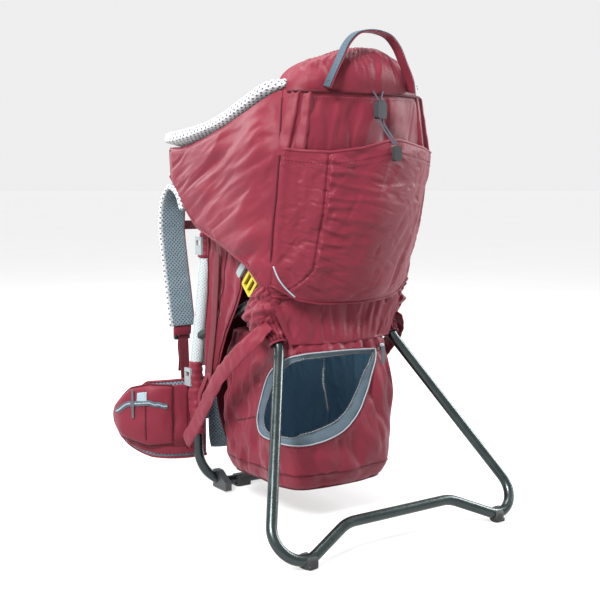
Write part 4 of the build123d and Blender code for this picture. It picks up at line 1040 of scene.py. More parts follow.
# the open zip's edge: along the top, round the left rear corner, down the side and back across the rear
BAG_MOUTH = [
    (63, -121, 262), (30, -128, 264.5), (-10, -131, 266), (-50, -127, 266), (-84, -117, 264), (-101, -98, 258), (-103, -76, 245),
    (-104, -57, 224), (-104, -45, 198), (-104, -37, 172), (-104, -33, 150), (-104, -42, 137), (-103, -72, 131), (-97, -106, 128),
    (-70, -121, 129), (-45, -127, 134), (-15, -131, 146), (9, -131, 166), (30, -128, 196), (46, -125, 228), (56, -122, 250),
]


def bag_ring(z, count=BAG_RINGS):
    half, front, rear, bulge = at_height(BAG_TABLE, z)
    left = [(0, front), (-half + 20, front), (-half + 4, front - 13), (-half - 1.5, (front + rear) / 2), (-half - 0.5, rear + 24),
            (-half + 9, rear + 3), (-half * 0.55, rear - bulge * 0.7)]
    return smooth(left + [(0, rear - bulge)] + [(-x, y) for x, y in reversed(left)], count + 1)[:-1]


BAG_LEVELS = np.linspace(50, 283, 60)
BAG_WALL = np.array([bag_ring(z) for z in BAG_LEVELS])


def bag_point(u, z):
    """A point on the bag's wall: u is the fraction of the way round from the front centre, by the left."""
    k = (np.asarray(u) % 1.0) * BAG_RINGS
    k0 = np.floor(k).astype(int) % BAG_RINGS
    k1 = (k0 + 1) % BAG_RINGS
    f = (k - np.floor(k))[..., None]
    j = np.clip((np.asarray(z) - 50) / (283 - 50) * 59, 0, 58.999)
    j0 = j.astype(int)
    g = (j - j0)[..., None]
    low = BAG_WALL[j0, k0] * (1 - f) + BAG_WALL[j0, k1] * f
    high = BAG_WALL[j0 + 1, k0] * (1 - f) + BAG_WALL[j0 + 1, k1] * f
    xy = low * (1 - g) + high * g
    return np.concatenate([xy, np.asarray(z, float)[..., None]], axis=-1)


def bag_u(x, y, z):
    ring = BAG_WALL[int(np.clip((z - 50) / 233 * 59, 0, 59))]
    return int(np.argmin((ring[:, 0] - x) ** 2 + (ring[:, 1] - y) ** 2)) / BAG_RINGS


def bag_push(grid, u):
    """How far the bag's cloth stands out or in: sag, folds that pull from the zip, and fine rumples."""
    pulls = [((58, -124, 240), (66, -122, 120), 8, 3.2), ((46, -126, 200), (84, -110, 90), 9, -3.6), ((34, -128, 176), (96, -90, 150), 7, 3.4),
             ((70, -118, 250), (92, -100, 160), 8, 3.0), ((10, -131, 150), (70, -118, 96), 9, 3.2), ((-20, -131, 132), (40, -126, 70), 9, -3.2),
             ((-70, -121, 112), (-10, -131, 88), 9, 2.6), ((78, -112, 200), (100, -60, 170), 8, -3.0), ((60, -122, 140), (88, -108, 70), 8, 3.0),
             ((-104, 60, 250), (-104, -20, 170), 10, 3.0), ((-104, 70, 200), (-103, 10, 110), 10, -3.4), ((-103, 84, 150), (-103, 30, 80), 9, 3.0),
             ((-104, -10, 250), (-104, -30, 180), 8, 2.6), ((-103, -20, 120), (-99, -60, 70), 8, 2.4),
             ((104, 60, 240), (104, -50, 160), 11, 3.0), ((103, 50, 170), (102, -60, 90), 10, -3.0), ((102, -20, 240), (104, -70, 130), 10, 3.0),
             ((-60, 90, 240), (30, 92, 120), 12, 2.6)]
    z = grid[..., 2]
    base = np.clip((z - 50) / 14, 0, 1) * np.clip((283 - z) / 16, 0, 1)
    tucks = np.sin(2 * np.pi * u * 34) * 1.4 * np.exp(-(((z - 276) / 14) ** 2))
    down = drawn(grid, (0.45, 0.1, -0.9), 16, 72, 4.5) * 4.2 + drawn(grid, (0.1, 0, 1), 28, 73, 3.0, 0.45) * 3.4
    return (creases(grid, pulls) * 1.15 + ripples(grid, 62, 71) * 3.0 + down) * base + tucks


def bag():
    outline = smooth(BAG_MOUTH + BAG_MOUTH[:1], 241)[:-1]
    u = np.array([bag_u(*p) for p in outline])
    u = np.convolve(np.concatenate([u[-4:], u, u[:4]]), np.ones(9) / 9, "valid")
    z = outline[:, 2]
    u_left, u_right = bag_u(-103, 34, 170), bag_u(97, -100, 170)
    centre_u, centre_z = (u.min() + u.max()) / 2, 196.0
    m = 44
    targets = []
    for a, b in zip(u, z):
        du, dz = a - centre_u, b - centre_z
        reach = []
        if du:
            reach.append(((u_right if du > 0 else u_left) - centre_u) / du)
        if dz:
            reach.append(((283 if dz > 0 else 50) - centre_z) / dz)
        k = min(r for r in reach if r > 0)
        targets.append((centre_u + du * k, centre_z + dz * k))
    targets = np.array(targets)
    for corner in ((u_left, 50), (u_left, 283), (u_right, 50), (u_right, 283)):
        i = int(np.argmin((targets[:, 0] - corner[0]) ** 2 * 1e5 + (targets[:, 1] - corner[1]) ** 2))
        targets[i] = corner
    t = np.linspace(0, 1, m)[:, None] ** 1.15
    gu = u[None, :] * (1 - t) + targets[None, :, 0] * t
    gz = z[None, :] * (1 - t) + targets[None, :, 1] * t
    flat = bag_point(gu, gz)
    n = outward(flat, (0.0, -10.0))
    lip = np.exp(-((t / 0.16) ** 2)) * np.clip((190 - gz) / 50, 0, 1) * 4.0
    face = flat + n * (bag_push(flat, gu) * np.clip(t / 0.12, 0.15, 1) + lip)[..., None]
    wall_u = np.linspace(u_right, 1 + u_left, 200)
    wall_z = np.linspace(50, 283, 84)
    ru, rz = np.meshgrid(wall_u, wall_z)
    rest_flat = bag_point(ru, rz)
    rn = outward(rest_flat, (0.0, -10.0))
    rest = rest_flat + rn * bag_push(rest_flat, ru)[..., None]
    wrap = np.concatenate([face, face[:, :1]], axis=1)
    panel("bag_zip_panel", wrap, "fabric", "carrier", 1.8, "storage_bag", offset=0.0)
    panel("bag_body", rest, "fabric", "carrier", 1.8, "storage_bag", offset=0.0)
    inner = np.concatenate([face - n * 3.0, (face - n * 3.0)[:, :1]], axis=1)
    panel("bag_lining_rear", inner, "lining", "carrier", 0.8, (), offset=0.0, levels=0)
    panel("bag_lining", rest - rn * 3.0, "lining", "carrier", 0.8, (), offset=0.0, levels=0)
    for tag, height, rise in (("base", 50.0, -1.0), ("lid", 283.0, 3.0)):
        ring = np.vstack([bag_point(np.linspace(0, 1, 121), np.full(121, height))])
        middle = np.array([0, -10.0, height + rise])
        k = np.linspace(0, 1, 16)[:, None, None]
        cap = ring[None] * (1 - k) + middle * k
        cap[..., 2] += (ripples(cap, 34, 75) * 1.6 * np.sin(np.pi * np.clip(k[..., 0], 0, 0.5)))
        panel(f"bag_{tag}", cap, "fabric", "carrier", 1.6, (), offset=0.0, levels=1)
    for tag, height in (("low", 53.0), ("base", 77.0)):
        ring = bag_point(np.linspace(0, 1, 121), np.full(121, height))
        rim_n = outward(np.stack([ring, ring + (0, 0, 1)]), (0.0, -10.0))[0]
        ring = ring + rim_n * (bag_push(ring[None], np.linspace(0, 1, 121)[None])[0] + 1.2)[:, None]
        tube(f"bag_seam_{tag}", ring[::3], 1.7 if tag == "low" else 0.9, "fabric_dark", "carrier", (), 8, 200, up=(0, 0.02, 1))
    edge = face[0]
    side_seam = face[:, int(np.argmin((outline[:, 0] + 104) ** 2 + (z - 160) ** 2))]
    tube("bag_side_seam", side_seam[2:] + np.array([-1.2, 0, 0]), 0.9, "fabric_dark", "carrier", (), 8, 60)
    zip_edge(edge, n[0], flat[0] - flat[3])


def zip_edge(edge, n, inward):
    """Tape, coil and piping round the bag's open zip."""
    inward = inward - n * (inward * n).sum(axis=1, keepdims=True)
    inward /= np.linalg.norm(inward, axis=1, keepdims=True)
    for _ in range(4):
        inward = (np.roll(inward, 1, 0) + inward + np.roll(inward, -1, 0)) / 3
    z = edge[:, 2]
    upper = np.clip((z - 236) / 22, 0, 1)
    width = 19 - 12 * upper - 7 * np.clip((-94 - edge[:, 0]) / 8, 0, 1) * (1 - upper)
    rows = [edge - n * 0.5, edge + inward * (width * 0.5)[:, None] - n * 2.2, edge + inward * width[:, None] - n * 5.5]
    grid = surface(np.array(rows), 240, 9)
    grid = grid + normals(grid) * (ripples(grid, 13, 81) * 0.8)[..., None]
    wrap = np.concatenate([grid, grid[:, :1]], axis=1)
    panel("bag_zip_tape", wrap, "zip_tape", "carrier", 1.2, "zip_tracks", offset=0.0)
    teeth = lambda g, s, l: (g - g.mean(axis=1, keepdims=True)) * (0.28 * np.sign(np.sin(np.arange(len(g)) * math.pi * 0.5)))[:, None, None]
    coil = edge + inward * (width * 0.97)[:, None] - n * 4.6
    tube("bag_zip_coil", np.vstack([coil, coil[:1]])[::2], 1.5, "zip", "carrier", (), 8, 560, wrinkle=teeth, up=(0.3, 0.2, 1))
    piping = edge + n * 1.3
    tube("bag_zip_piping", np.vstack([piping, piping[:1]])[::3], 1.05, "piping", "carrier", (), 8, 260, up=(0.3, 0.2, 1))
    stitches("bag_zip_stitch", edge - inward * 4 + n * 1.4, "carrier", "thread_dark")
    tube("lining_zip", [(-34, -106, 262), (-34, -104, 236), (-33, -103, 214), (-31, -103, 204)], 1.7, "zip", "carrier", (), 8, 90, wrinkle=teeth)
    tube("lining_pull", [(-31, -104.5, 204), (-30, -105, 196), (-28, -105, 184), (-25, -105, 170)], 1.6, "dark", "carrier", (), 8, 30)


# ---------------------------------------------------------------- padded bands and belts
def padded_band(name, line, low, high, thickness, material, body, replaces=(), seed=1, nu=80, nv=40, crown=0.5, rumple=1.2, levels=1):
    """A crowned pad that follows a plan line; low and high give its edges' heights by y (or by x if straight)."""
    plan = smooth(line, nu)
    key = plan[:, 1] if abs(plan[-1, 1] - plan[0, 1]) > 30 else plan[:, 0]
    order = np.argsort([p[0] for p in low])
    zl = np.interp(key, np.array([p[0] for p in low])[order], np.array([p[1] for p in low])[order])
    order = np.argsort([p[0] for p in high])
    zh = np.interp(key, np.array([p[0] for p in high])[order], np.array([p[1] for p in high])[order])
    t = np.gradient(plan, axis=0)
    t /= np.linalg.norm(t, axis=1, keepdims=True)
    side = np.stack([-t[:, 1], t[:, 0]], 1)
    u = np.linspace(-1, 1, nu)[None, :]
    v = np.linspace(-1, 1, nv)[:, None]
    dome = ((1 - np.abs(u) ** 8) * (1 - np.abs(v) ** 4)) ** crown
    sheets = []
    for sign in (-1, 1):
        g = np.empty((nv, nu, 3))
        off = sign * dome * thickness / 2
        g[..., 0] = plan[None, :, 0] + side[None, :, 0] * off
        g[..., 1] = plan[None, :, 1] + side[None, :, 1] * off
        g[..., 2] = zl[None, :] + (zh - zl)[None, :] * (v + 1) / 2
        bump = ripples(g, 26, seed) * rumple * dome * sign
        g[..., 0] += side[None, :, 0] * bump
        g[..., 1] += side[None, :, 1] * bump
        sheets.append(g if sign < 0 else g[:, ::-1])
    verts = np.vstack([g.reshape(-1, 3) for g in sheets])
    faces = grid_faces(nv, nu) + [tuple(i + nu * nv for i in f) for f in grid_faces(nv, nu)]
    uv = np.vstack([metric_uv(g) for g in sheets])
    obj = make(name, verts, faces, material, body, replaces, uv)
    weld = bmesh.new()
    weld.from_mesh(obj.data)
    bmesh.ops.remove_doubles(weld, verts=weld.verts, dist=0.0002)
    bmesh.ops.recalc_face_normals(weld, faces=weld.faces)
    weld.to_mesh(obj.data)
    weld.free()
    obj.data.polygons.foreach_set("use_smooth", [True] * len(obj.data.polygons))
    rim_line = np.concatenate([
        np.stack([plan[:, 0], plan[:, 1], zl], 1),
        np.stack([plan[::-1, 0], plan[::-1, 1], zh[::-1]], 1),
    ])
    return obj, sheets, rim_line


def flip_x(points, side):
    return [(-side * p[0], *p[1:]) for p in points]


WING_LINE = [(-84, 172), (-120, 174), (-156, 186), (-186, 214), (-200, 250), (-198.7, 280)]
WING_LOW = [(150, 50), (172, 52), (200, 56), (240, 72), (290, 98)]
WING_HIGH = [(150, 190), (205, 184), (240, 152), (290, 130)]
BELT_POCKET_LINE = [(-150, 170.5), (-181.3, 188.1), (-207, 220.5), (-215, 258)]
BELT_POCKET_LOW = [(140, 84), (190, 77), (240, 92), (262, 110)]
BELT_POCKET_HIGH = [(140, 176), (190, 183), (216, 175), (245, 150), (262, 134)]


def outer_face(sheets, away):
    """The sheet of a padded band that looks along away, with its outward normals."""
    face = max((sheets[0], sheets[1][:, ::-1]), key=lambda g: g.mean(axis=(0, 1)) @ away)
    n = normals(face)
    return face, n * np.sign((n * away).sum(axis=2))[..., None]


def hip_belt():
    for name, side in (("left", -1), ("right", 1)):
        wing, sheets, edge = padded_band(f"hip_wing_{name}", flip_x(WING_LINE, side), WING_LOW, WING_HIGH, 15, "mesh_blue", "carrier", "hip_wings", seed=91)
        tube(f"wing_binding_{name}", edge[::3], 2.6, "fabric", "carrier", (), 8, 220, up=(0.2, 0.3, 1))
        away = np.array([side * 0.8, -0.45, 0])
        face, nrm = outer_face(sheets, away)
        face = face[2:-2, 2:-2] + nrm[2:-2, 2:-2] * (1.0 + drawn(face[2:-2, 2:-2], (0, 0.3, 1), 14, 93, 3.0) * 1.6)[..., None]
        panel(f"hip_wing_cover_{name}", face, "fabric", "carrier", 1.4, (), offset=0.0)
        for column in (12, 15):
            seam = (face + nrm[2:-2, 2:-2] * 1.0)[3:-3, column]
            tube(f"hip_wing_seam_{name}_{column}", seam[::2], 0.9, "fabric_dark", "carrier", (), 8, 40)
        lane = [face[k, i] + nrm[k, i] * 1.6 for k, i in ((6, 4), (6, 20), (6, 36), (6, 48))]
        strap(f"hip_adjust_strap_{name}", lane, 12, 1.6, "web_red", "carrier", (), nrm[6, 24], 40)
        pocket_line = flip_x(BELT_POCKET_LINE, side)
        pouch, sheets, edge = padded_band(f"hip_pouch_{name}", pocket_line, BELT_POCKET_LOW, BELT_POCKET_HIGH, 16, "fabric", "carrier",
                                          "hip_pockets", 92, crown=0.36, rumple=1.6)
        tube(f"pouch_binding_{name}", edge[::3], 1.9, "fabric_dark", "carrier", (), 8, 220, up=(0.2, 0.3, 1))
        face, nrm = outer_face(sheets, np.array([side * 0.8, -0.2, 0]))
        track = [face[int(26 + 3 * math.sin(f * 3.1)), int(6 + f * 62)] + nrm[26, int(6 + f * 62)] * 1.2 for f in np.linspace(0, 1, 14)]
        strap(f"hip_zip_tape_{name}", track, 9, 1.0, "zip_tape", "carrier", "zip_tracks", nrm[26, 40], 60)
        teeth = lambda g, s, l: (g - g.mean(axis=1, keepdims=True)) * (0.3 * np.sign(np.sin(np.arange(len(g)) * math.pi * 0.5)))[:, None, None]
        tube(f"hip_zip_coil_{name}", np.array(track) + nrm[26, 40] * 1.0, 1.3, "piping", "carrier", (), 8, 220, wrinkle=teeth)
        patch = face[29:36, 28:40] + nrm[29:36, 28:40] * 1.3
        panel(f"hip_reflector_{name}", patch, "reflector_and_highlight", "carrier", 0.9, (), offset=0.0)
        seam = face[:, 30][4:-3:2] + nrm[:, 30][4:-3:2] * 0.9
        tube(f"hip_pouch_seam_{name}", seam, 0.9, "fabric_dark", "carrier", (), 8, 40)
        stitches(f"hip_pouch_stitch_{name}", face[:, 32][4:-3] + nrm[:, 32][4:-3] * 0.9, "carrier", "thread")
    pad = pillow("lumbar_pad_cover", (0, 173, 124), (158, 17, 130), 5, "mesh_blue", "carrier", "lumbar_pad", 3, 95)
    x, y = 191.0, 268.0
    belt = [(-x, y + 1, 114), (-150, y, 114), (-100, y, 114), (-44, y, 114)]
    strap("hip_webbing_belt_left", belt, 37, 2.0, "web_red", "carrier", "side_bands", up=(0, 1, 0))
    belt_right = strap("hip_webbing_belt_right", [(-a, b, c) for a, b, c in reversed(belt)], 37, 2.0, "web_red", None, (), up=(0, 1, 0))
    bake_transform(belt_right)
    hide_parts("hip_webbing_right")


STRAP_LINE = [(163, 478), (180, 505), (207, 515), (231, 492), (239, 446), (231, 395), (218, 335), (206, 276)]


def flat_band(name, side_x, yz, width, thickness, material, body, replaces=(), count=70, power=6.0, sides=20, rumple=0.0, seed=5):
    """A band whose width runs across the carrier and whose path lies in a plane x = side_x."""
    line = smooth([(side_x, y, z) for y, z in yz], count)
    t = np.gradient(line, axis=0)
    t /= np.linalg.norm(t, axis=1, keepdims=True)
    side = np.tile([1.0, 0, 0], (count, 1))
    lift = np.cross(side, t)
    shape = rounded_profile(width / 2, thickness / 2, power, sides)
    grid = line[:, None, :] + shape[None, :, :1] * side[:, None, :] + shape[None, :, 1:] * lift[:, None, :]
    if rumple:
        grid = grid + lift[:, None, :] * (ripples(grid, 16, seed) * rumple)[..., None] + side[:, None, :] * (ripples(grid, 20, seed + 1) * rumple * 0.6)[..., None]
    k = sides
    faces = grid_faces(count, k, wrap_u=True) + [tuple(reversed(range(k))), tuple((count - 1) * k + i for i in range(k))]
    length = np.concatenate([[0], np.cumsum(np.linalg.norm(np.diff(line, axis=0), axis=1))]) * MM
    around = np.concatenate([[0], np.cumsum(np.linalg.norm(np.diff(np.vstack([shape, shape[:1]]), axis=0), axis=1))]) * MM
    uv = [(length[i], around[j]) for i in range(count) for j in range(k)]
    return make(name, grid.reshape(-1, 3), faces, material, body, replaces, uv)


def shoulder_harness():
    for name, side in (("left", -1), ("right", 1)):
        x = side * 109.5
        strap_pad = flat_band(f"shoulder_pad_{name}", x, STRAP_LINE, 45, 12.5, "mesh_strap", "harness", "shoulder_straps", 110, 3.2, 30, 0.5, 14)
        for tag, off in (("in", -22.0), ("out", 22.0)):
            outer = off * side > 0
            tube(f"shoulder_binding_{name}_{tag}", [(x + off, y, z) for y, z in STRAP_LINE], 4.4 if outer else 2.9, "mesh_light" if outer else "fabric", "harness", (), 10, 130, up=(1, 0, 0))
        nose = [(y, z) for y, z in ((207.5, 282), (206, 274), (206.6, 266), (208, 261))]
        flat_band(f"strap_end_{name}", x, nose, 34, 7.5, "fabric", "harness", (), 24, 2.6, 24)
        lane = [(y + 7.2, z + 0.5) for y, z in STRAP_LINE[3:]] + [(212.6, 266), (210.6, 259)]
        flat_band(f"shoulder_webbing_{name}", x, lane, 19, 1.8, "web_red", "harness")
        low = flat_band(f"strap_webbing_{name}", side * 106, [(209.5, 262), (206, 210), (200, 160), (194, 122)], 18, 1.8, "web_red", None, (), count=60)
        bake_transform(low)
        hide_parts("strap_webbings")
        lifter = flat_band(f"lifter_webbing_{name}", side * 106, [(190, 530), (178, 546), (162.5, 562)], 16, 1.8, "web_red", None, (), count=40)
        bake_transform(lifter)
        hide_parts("lifter_webbings")
        tail = [(211, 258), (215, 236), (212, 214), (214, 196)]
        flat_band(f"strap_tail_{name}", side * 106, tail, 18, 1.6, "web_red", "harness", rumple=0.6)
    padded_band("yoke_pad", [(-74, 152.5), (-30, 153.5), (30, 153.5), (74, 152.5)], [(-74, 436), (0, 430), (74, 436)], [(-74, 500), (0, 505), (74, 500)],
                14, "mesh_blue", "harness", "yoke", seed=97)
    strip = strap("sternum_webbing_a", [(-92, 252.6, 448), (-60, 252.9, 448), (-27, 252.6, 448)], 15.6, 1.6, "web_red", "sternum", "sternum_webbing_left", up=(0, 1, 0))
    other = strap("sternum_webbing_b", [(27, 252.6, 448), (60, 252.9, 448), (92, 252.6, 448)], 15.6, 1.6, "web_red", None, (), up=(0, 1, 0))
    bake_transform(other)
    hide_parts("sternum_webbing_right")


# ---------------------------------------------------------------- side fabric, bands, stirrups, back
def upright(z, side):
    if z >= 210:
        t = (z - 210) / 365
        return np.array([side * (116 - 26 * t), 150 - 28 * t, z])
    t = (z - 11) / 199
    return np.array([side * (122 - 6 * t), 130 + 20 * t, z])


def sides():
    crumple = lambda g, s, l: (g - g.mean(axis=1, keepdims=True)) / 12.0 * (ripples(g, 12, 65) * 1.6 + np.sin(g[..., 2] * 0.55) * 0.6)[..., None]
    for name, side in (("left", -1), ("right", 1)):
        rows = [
            [(side * 124, 92, 452), (side * 126, 30, 440), (side * 126, -36, 416)],
            [(side * 124, 92, 372), (side * 127, 40, 366), (side * 126, -14, 352)],
            [(side * 125, 96, 292), (side * 127, 66, 288), (side * 127, 32, 276)],
            [(side * 126, 100, 222), (side * 128, 82, 220), (side * 127, 60, 214)],
            [(side * 126, 104, 160), (side * 128, 94, 162), (side * 127, 82, 166)],
        ]
        grid = surface(rows, 80, 100)
        u = np.linspace(0, 1, 80)[None, :]
        v = np.linspace(0, 1, 100)[:, None]
        drape_folds = np.sin(2 * np.pi * (u * 3.4 + 0.22 * np.sin(v * 5))) * 2.4 * (0.5 + 0.7 * v)
        push = (drape_folds + drawn(grid, (0, 0.25, 1), 10, 66, 4.0) * 2.0 + ripples(grid, 30, 66) * 1.0 - 0.6) * border(100, 80, 0.06)
        grid = grid + np.array([side, 0, 0]) * push[..., None]
        panel(f"side_curtain_{name}", grid, "fabric", "carrier", 1.6, "side_curtains", offset=0.0)
        for tag, k in (("a", 0.04), ("b", 0.52), ("c", 0.96)):
            line = grid[:, int(k * 79)][2:-2:4] + np.array([side * 1.3, 0, 0])
            tube(f"curtain_seam_{name}_{tag}", line, 1.1, "fabric_dark", "carrier", (), 8, 90, up=(side, 0, 0))
        path = [(159, 107, 99), (159, 96, 111), (159, 60, 150), (158, 4, 219), (152, -44, 262), (138, -80, 295), (126, -89, 313)]
        bulge = lambda g, s, l: s[:, None] * (drawn(g, (0, -0.6, 0.8), 9, 67, 2.2) * 2.0)[..., None] + l[:, None] * (ripples(g, 14, 68) * 1.2)[..., None]
        tube(f"stabiliser_{name}", [(side * x, y, z) for x, y, z in path], 1.0, "fabric", "carrier", "side_bands", count=150,
             profile=rounded_profile(14.0, 2.6, 2.2, 30), up=(side, 0, 0), wrinkle=bulge)
        al = np.array([0, -0.72, -0.694])
        at = np.array([side * 132.6, -56, 372.0])
        ends = [at + al * k for k in (-51, -16, 19)]
        strap(f"side_entry_strap_{name}", ends, 24, 1.8, "web_red", "carrier", "side_bands", up=(side, 0, 0))
        for low, high in ((398.0, 500.0), (100.0, 222.0)):
            line = [upright(z, side) for z in np.linspace(low, high, 6)]
            tube(f"frame_sleeve_{name}_{int(low)}", line, lambda f: 11.8 + 0.8 * math.sin(f * 3.14), "fabric", "carrier", "frame_sleeves", 26, 46,
                 up=(0, 1, 0), wrinkle=crumple)
        line = [upright(z, side) for z in np.linspace(178, 434, 12)]
        tube(f"mesh_wrap_{name}", line, 10.6, "mesh_pale", "carrier", "back_mesh", 24, 90, up=(0, 1, 0))
        body = f"foot_strap_{name}"
        x = side * 133.1
        top = [(x, 46, 412), (x, 52, 350), (x, 60, 290), (x, 72, 232), (x, 76, 210)]
        strap(f"stirrup_strap_{name}", top, 15, 1.8, "web_red", body, f"stirrup_{name}", up=(side, 0, 0), count=70)
        loop = [(x, 75, 214), (x, 69, 190), (x, 68, 170), (x, 76, 159), (x, 92, 158), (x, 108, 160), (x, 108, 170), (x, 94, 192), (x, 80, 213)]
        strap(f"stirrup_loop_{name}", loop, 9, 2.0, "fabric", body, (), up=(side, 0, 0), count=90)
    rows = [[(s * 108, upright(z, 1)[1] + 11.5 - 5 * (1 - (s * 1.0) ** 2), z) for s in (-1, -0.5, 0, 0.5, 1)] for z in (211, 260, 306, 352, 401)]
    grid = surface(rows, 60, 50)
    panel("back_mesh_panel", grid, "mesh_pale", "carrier", 4.5, "back_mesh", offset=0.0)
    lo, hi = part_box("length_track")
    x0, x1, y0, y1, z0, z1 = [v / MM for v in (lo.x, hi.x, lo.y, hi.y, lo.z, hi.z)]
    mid = ((x0 + x1) / 2)
    top_y = upright(z1, 1)[1]
    track = [(mid, y0 + 2 + (y1 - y0 - 4) * (1 - f), z0 + (z1 - z0) * f) for f in np.linspace(0, 1, 6)]
    strap("length_webbing", track, (x1 - x0) * 0.96, 3.4, "web_red", "carrier", "length_track", up=(0, 1, 0), count=60)
    for k in range(6):
        z = z0 + (z1 - z0) * (0.12 + 0.15 * k)
        f = (z - z0) / (z1 - z0)
        y = y0 + 2 + (y1 - y0 - 4) * (1 - f)
        strap(f"length_rung_{k}", [(mid - 17, y + 3.2, z), (mid, y + 4.4, z), (mid + 17, y + 3.2, z)], 9, 1.6, "web_blue", "carrier", (), up=(0, 1, 0), count=20)


def child_seat():
    cushion = box_mesh("seat_cushion", (0, 16, 307), (160, 124, 17), "fabric_dark", "seat", "seat_pad")
    swell(cushion, 3.0, 14, 3.0, 5.0)
    for name, side in (("left", -1), ("right", 1)):
        pad = flat_band(f"harness_pad_{name}", side * 42, [(-74, 498), (-60, 492), (-48, 462), (-40, 420), (-23, 390)], 38, 10, "mesh_blue", "carrier",
                        "harness_pads", 60, 3.2, 24, 0.4, 77)
    lo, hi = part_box("crotch_strap")
    y = (lo.y + hi.y) / 2 / MM
    strap("crotch_webbing", [(0, y, lo.z / MM + 1), (0, y - 1, (lo.z + hi.z) / 2 / MM), (0, y, hi.z / MM - 1)], (hi.x - lo.x) / MM * 0.96, 2.2, "web_red", "seat", "crotch_strap",
          up=(0, 1, 0), count=24)


def box_mesh(name, centre, size, material, body, replaces):
    bm = bmesh.new()
    bmesh.ops.create_cube(bm, size=1.0)
    for v in bm.verts:
        v.co = Vector([(centre[k] + v.co[k] * size[k]) * MM for k in range(3)])
    bmesh.ops.bevel(bm, geom=list(bm.edges), offset=5 * MM, segments=3, affect="EDGES")
    mesh = bpy.data.meshes.new(name)
    bm.to_mesh(mesh)
    bm.free()
    mesh.materials.append(M[material])
    obj = bpy.data.objects.new(name, mesh)
    bpy.context.scene.collection.objects.link(obj)
    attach(obj, body)
    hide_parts(replaces)
    return obj


# ---------------------------------------------------------------- drawcord
DRAWCORD_ROUTE = [(8, -186, 615.2), (10, -192, 604), (13, -203, 590), (16, -212, 578)]


def drawcord():
    for name, spread in (("a", -3.2), ("b", 3.2)):
        points = [(x + spread * k, y, z) for (x, y, z), k in zip(DRAWCORD_ROUTE, (1, 1, 0.9, 0.75))]
        curve = bpy.data.curves.new(f"drawcord_{name}", "CURVE")
        curve.dimensions = "3D"
        spline = curve.splines.new("NURBS")
        spline.points.add(len(points) - 1)
        for point, at in zip(spline.points, points):
            point.co = (*(Vector(at) * MM), 1)
        spline.order_u = 3
        spline.use_endpoint_u = True
        spline.resolution_u = 16
        curve.bevel_depth = 1.4 * MM
        curve.bevel_resolution = 4
        curve.use_fill_caps = True
        curve.materials.append(M["cord"])
        obj = bpy.data.objects.new(f"drawcord_{name}", curve)
        bpy.context.scene.collection.objects.link(obj)
        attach(obj, "carrier")
        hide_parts("drawcord")
    for name, x in (("a", 5), ("b", 11)):
        up = [(x, -186, 640.8), (x - 2 if x < 8 else x + 2, -183, 648), (x - 6 if x < 8 else x + 7, -179.5, 656)]
        tube(f"drawcord_top_{name}", up, 1.3, "cord", "carrier", (), 8, 24)


def cad_finishes():
    plain = {
        "tube": ("kickstand_tube", "inner_frame"), "tube_base": ("main_frame",), "steel": ("hinge_pins", "bag_zip_slider"),
        "dark": ("frame_fittings", "hinge_brackets", "strap_buckles", "sternum_fittings", "sternum_plug", "hip_socket", "hip_plug", "cord_lock",
                 "cord_lock_button", "seat_board", "harness_buckle"),
        "red": ("harness_button",), "rubber": ("base_pads", "cord_end"), "grey": ("side_hooks", "mesh_buckles"),
        "yellow": ("lifter_buckles", "side_lock_left", "side_lock_right"),
        "zip": ("bag_zip_pull", "hip_slider_left", "hip_slider_right"),
    }
    for material, nodes in plain.items():
        for node in nodes:
            repaint(node, material)



# ---------------------------------------------------------------- small fittings
def stand_clips():
    """Moulded clip round each lower corner of the kickstand, with a short tongue that meets the floor."""
    for name, side in (("left", -1), ("right", 1)):
        x, y = side * 182.7, -269.3
        bend = [(x + side * 1.5, y + 9.5, 15.0), (x + side * 0.6, y + 2, 10.4), (x - side * 4, y - 2.4, 9.4), (x - side * 12, y - 3.2, 9.4)]
        tube(f"stand_clip_{name}", bend, lambda f: 8.9 + 0.5 * math.sin(math.pi * f), "rubber", "kickstand", "kickstand_feet",
             18, 26, profile=rounded_profile(1.0, 1.0, 3.4, 22))
        tongue = [(x - side * 2, y - 10.5, 4.6), (x - side * 1, y, 4.2), (x, y + 9.0, 5.0)]
        strap(f"stand_tongue_{name}", tongue, 11, 6.4, "rubber", "kickstand", (), (0, 0, 1), 16, 4.0)


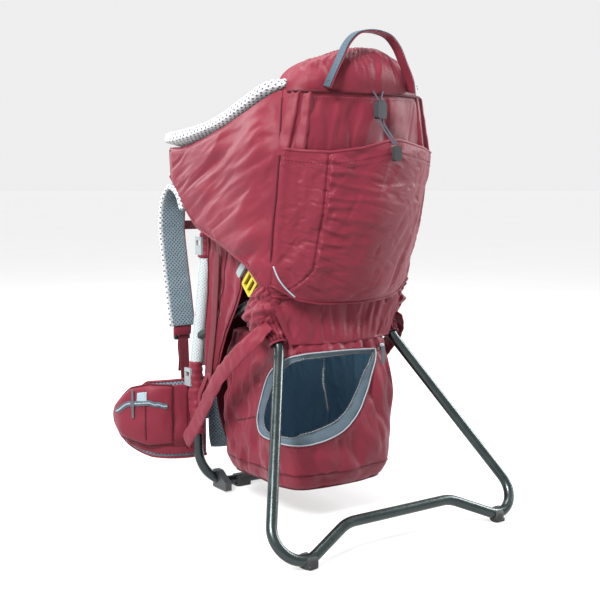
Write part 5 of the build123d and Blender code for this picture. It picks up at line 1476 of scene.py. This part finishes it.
# ---------------------------------------------------------------- floor, light, camera
def stage():
    size = 60.0
    mesh = bpy.data.meshes.new("floor")
    mesh.from_pydata([(-size, -size, 0), (size, -size, 0), (size, size, 0), (-size, size, 0)], [], [(0, 1, 2, 3)])
    floor = bpy.data.objects.new("floor", mesh)
    bpy.context.scene.collection.objects.link(floor)
    n = Nodes("floor_pale")
    tone = n.noise(n.coords(False), 3.0, 2.0)
    n.finish(n.colour_between(tone, (0.29, 0.29, 0.29, 1), (0.31, 0.31, 0.31, 1)), 0.9,
             **{"Emission Color": (1, 1, 1, 1), "Emission Strength": 0.6, "Specular IOR Level": 0.1})
    mesh.materials.append(n.mat)

    world = bpy.data.worlds.new("studio")
    world.use_nodes = True
    world.node_tree.nodes["Background"].inputs["Color"].default_value = (1, 1, 1, 1)
    world.node_tree.nodes["Background"].inputs["Strength"].default_value = 0.86
    bpy.context.scene.world = world

    def area(name, place, aim, size, power, tint=(1, 1, 1)):
        data = bpy.data.lights.new(name, "AREA")
        data.shape = "RECTANGLE"
        data.size, data.size_y = size
        data.energy = power
        data.color = tint
        lamp = bpy.data.objects.new(name, data)
        lamp.location = place
        lamp.rotation_mode = "QUATERNION"
        lamp.rotation_quaternion = (Vector(aim) - Vector(place)).to_track_quat("-Z", "Y")
        bpy.context.scene.collection.objects.link(lamp)

    area("key", (-1.9, -1.0, 2.1), (0, 0, 0.4), (0.7, 0.9), 185)
    area("side", (2.3, -0.5, 1.3), (0, 0, 0.4), (0.8, 1.4), 85)
    area("top", (0.2, 0.4, 2.7), (0, 0, 0.4), (1.2, 1.2), 60)
    area("front", (-1.2, 2.4, 1.6), (0, 0, 0.4), (1.2, 1.2), 60)


def camera():
    data = bpy.data.cameras.new("camera")
    cam = bpy.data.objects.new("camera", data)
    bpy.context.scene.collection.objects.link(cam)
    azimuth, elevation = math.radians(-35.0), math.radians(6.43)
    back = Vector((math.sin(azimuth) * math.cos(elevation), -math.cos(azimuth) * math.cos(elevation), math.sin(elevation)))
    cam.location = (-0.9952, -1.4140, 0.5274)
    cam.rotation_mode = "QUATERNION"
    cam.rotation_quaternion = (-back).to_track_quat("-Z", "Y")
    data.sensor_width = 36.0
    data.lens = 1067.25 / 600 * 36.0
    data.clip_start, data.clip_end = 0.05, 50
    bpy.context.scene.camera = cam
    bpy.context.scene.view_settings.view_transform = "Standard"


stage()
camera()
cad_finishes()
cockpit()
gussets()
cockpit_front()
rim()
hood()
handle()
pocket()
skirt()
sleeves()
bag()
hip_belt()
shoulder_harness()
sides()
child_seat()
drawcord()
stand_clips()
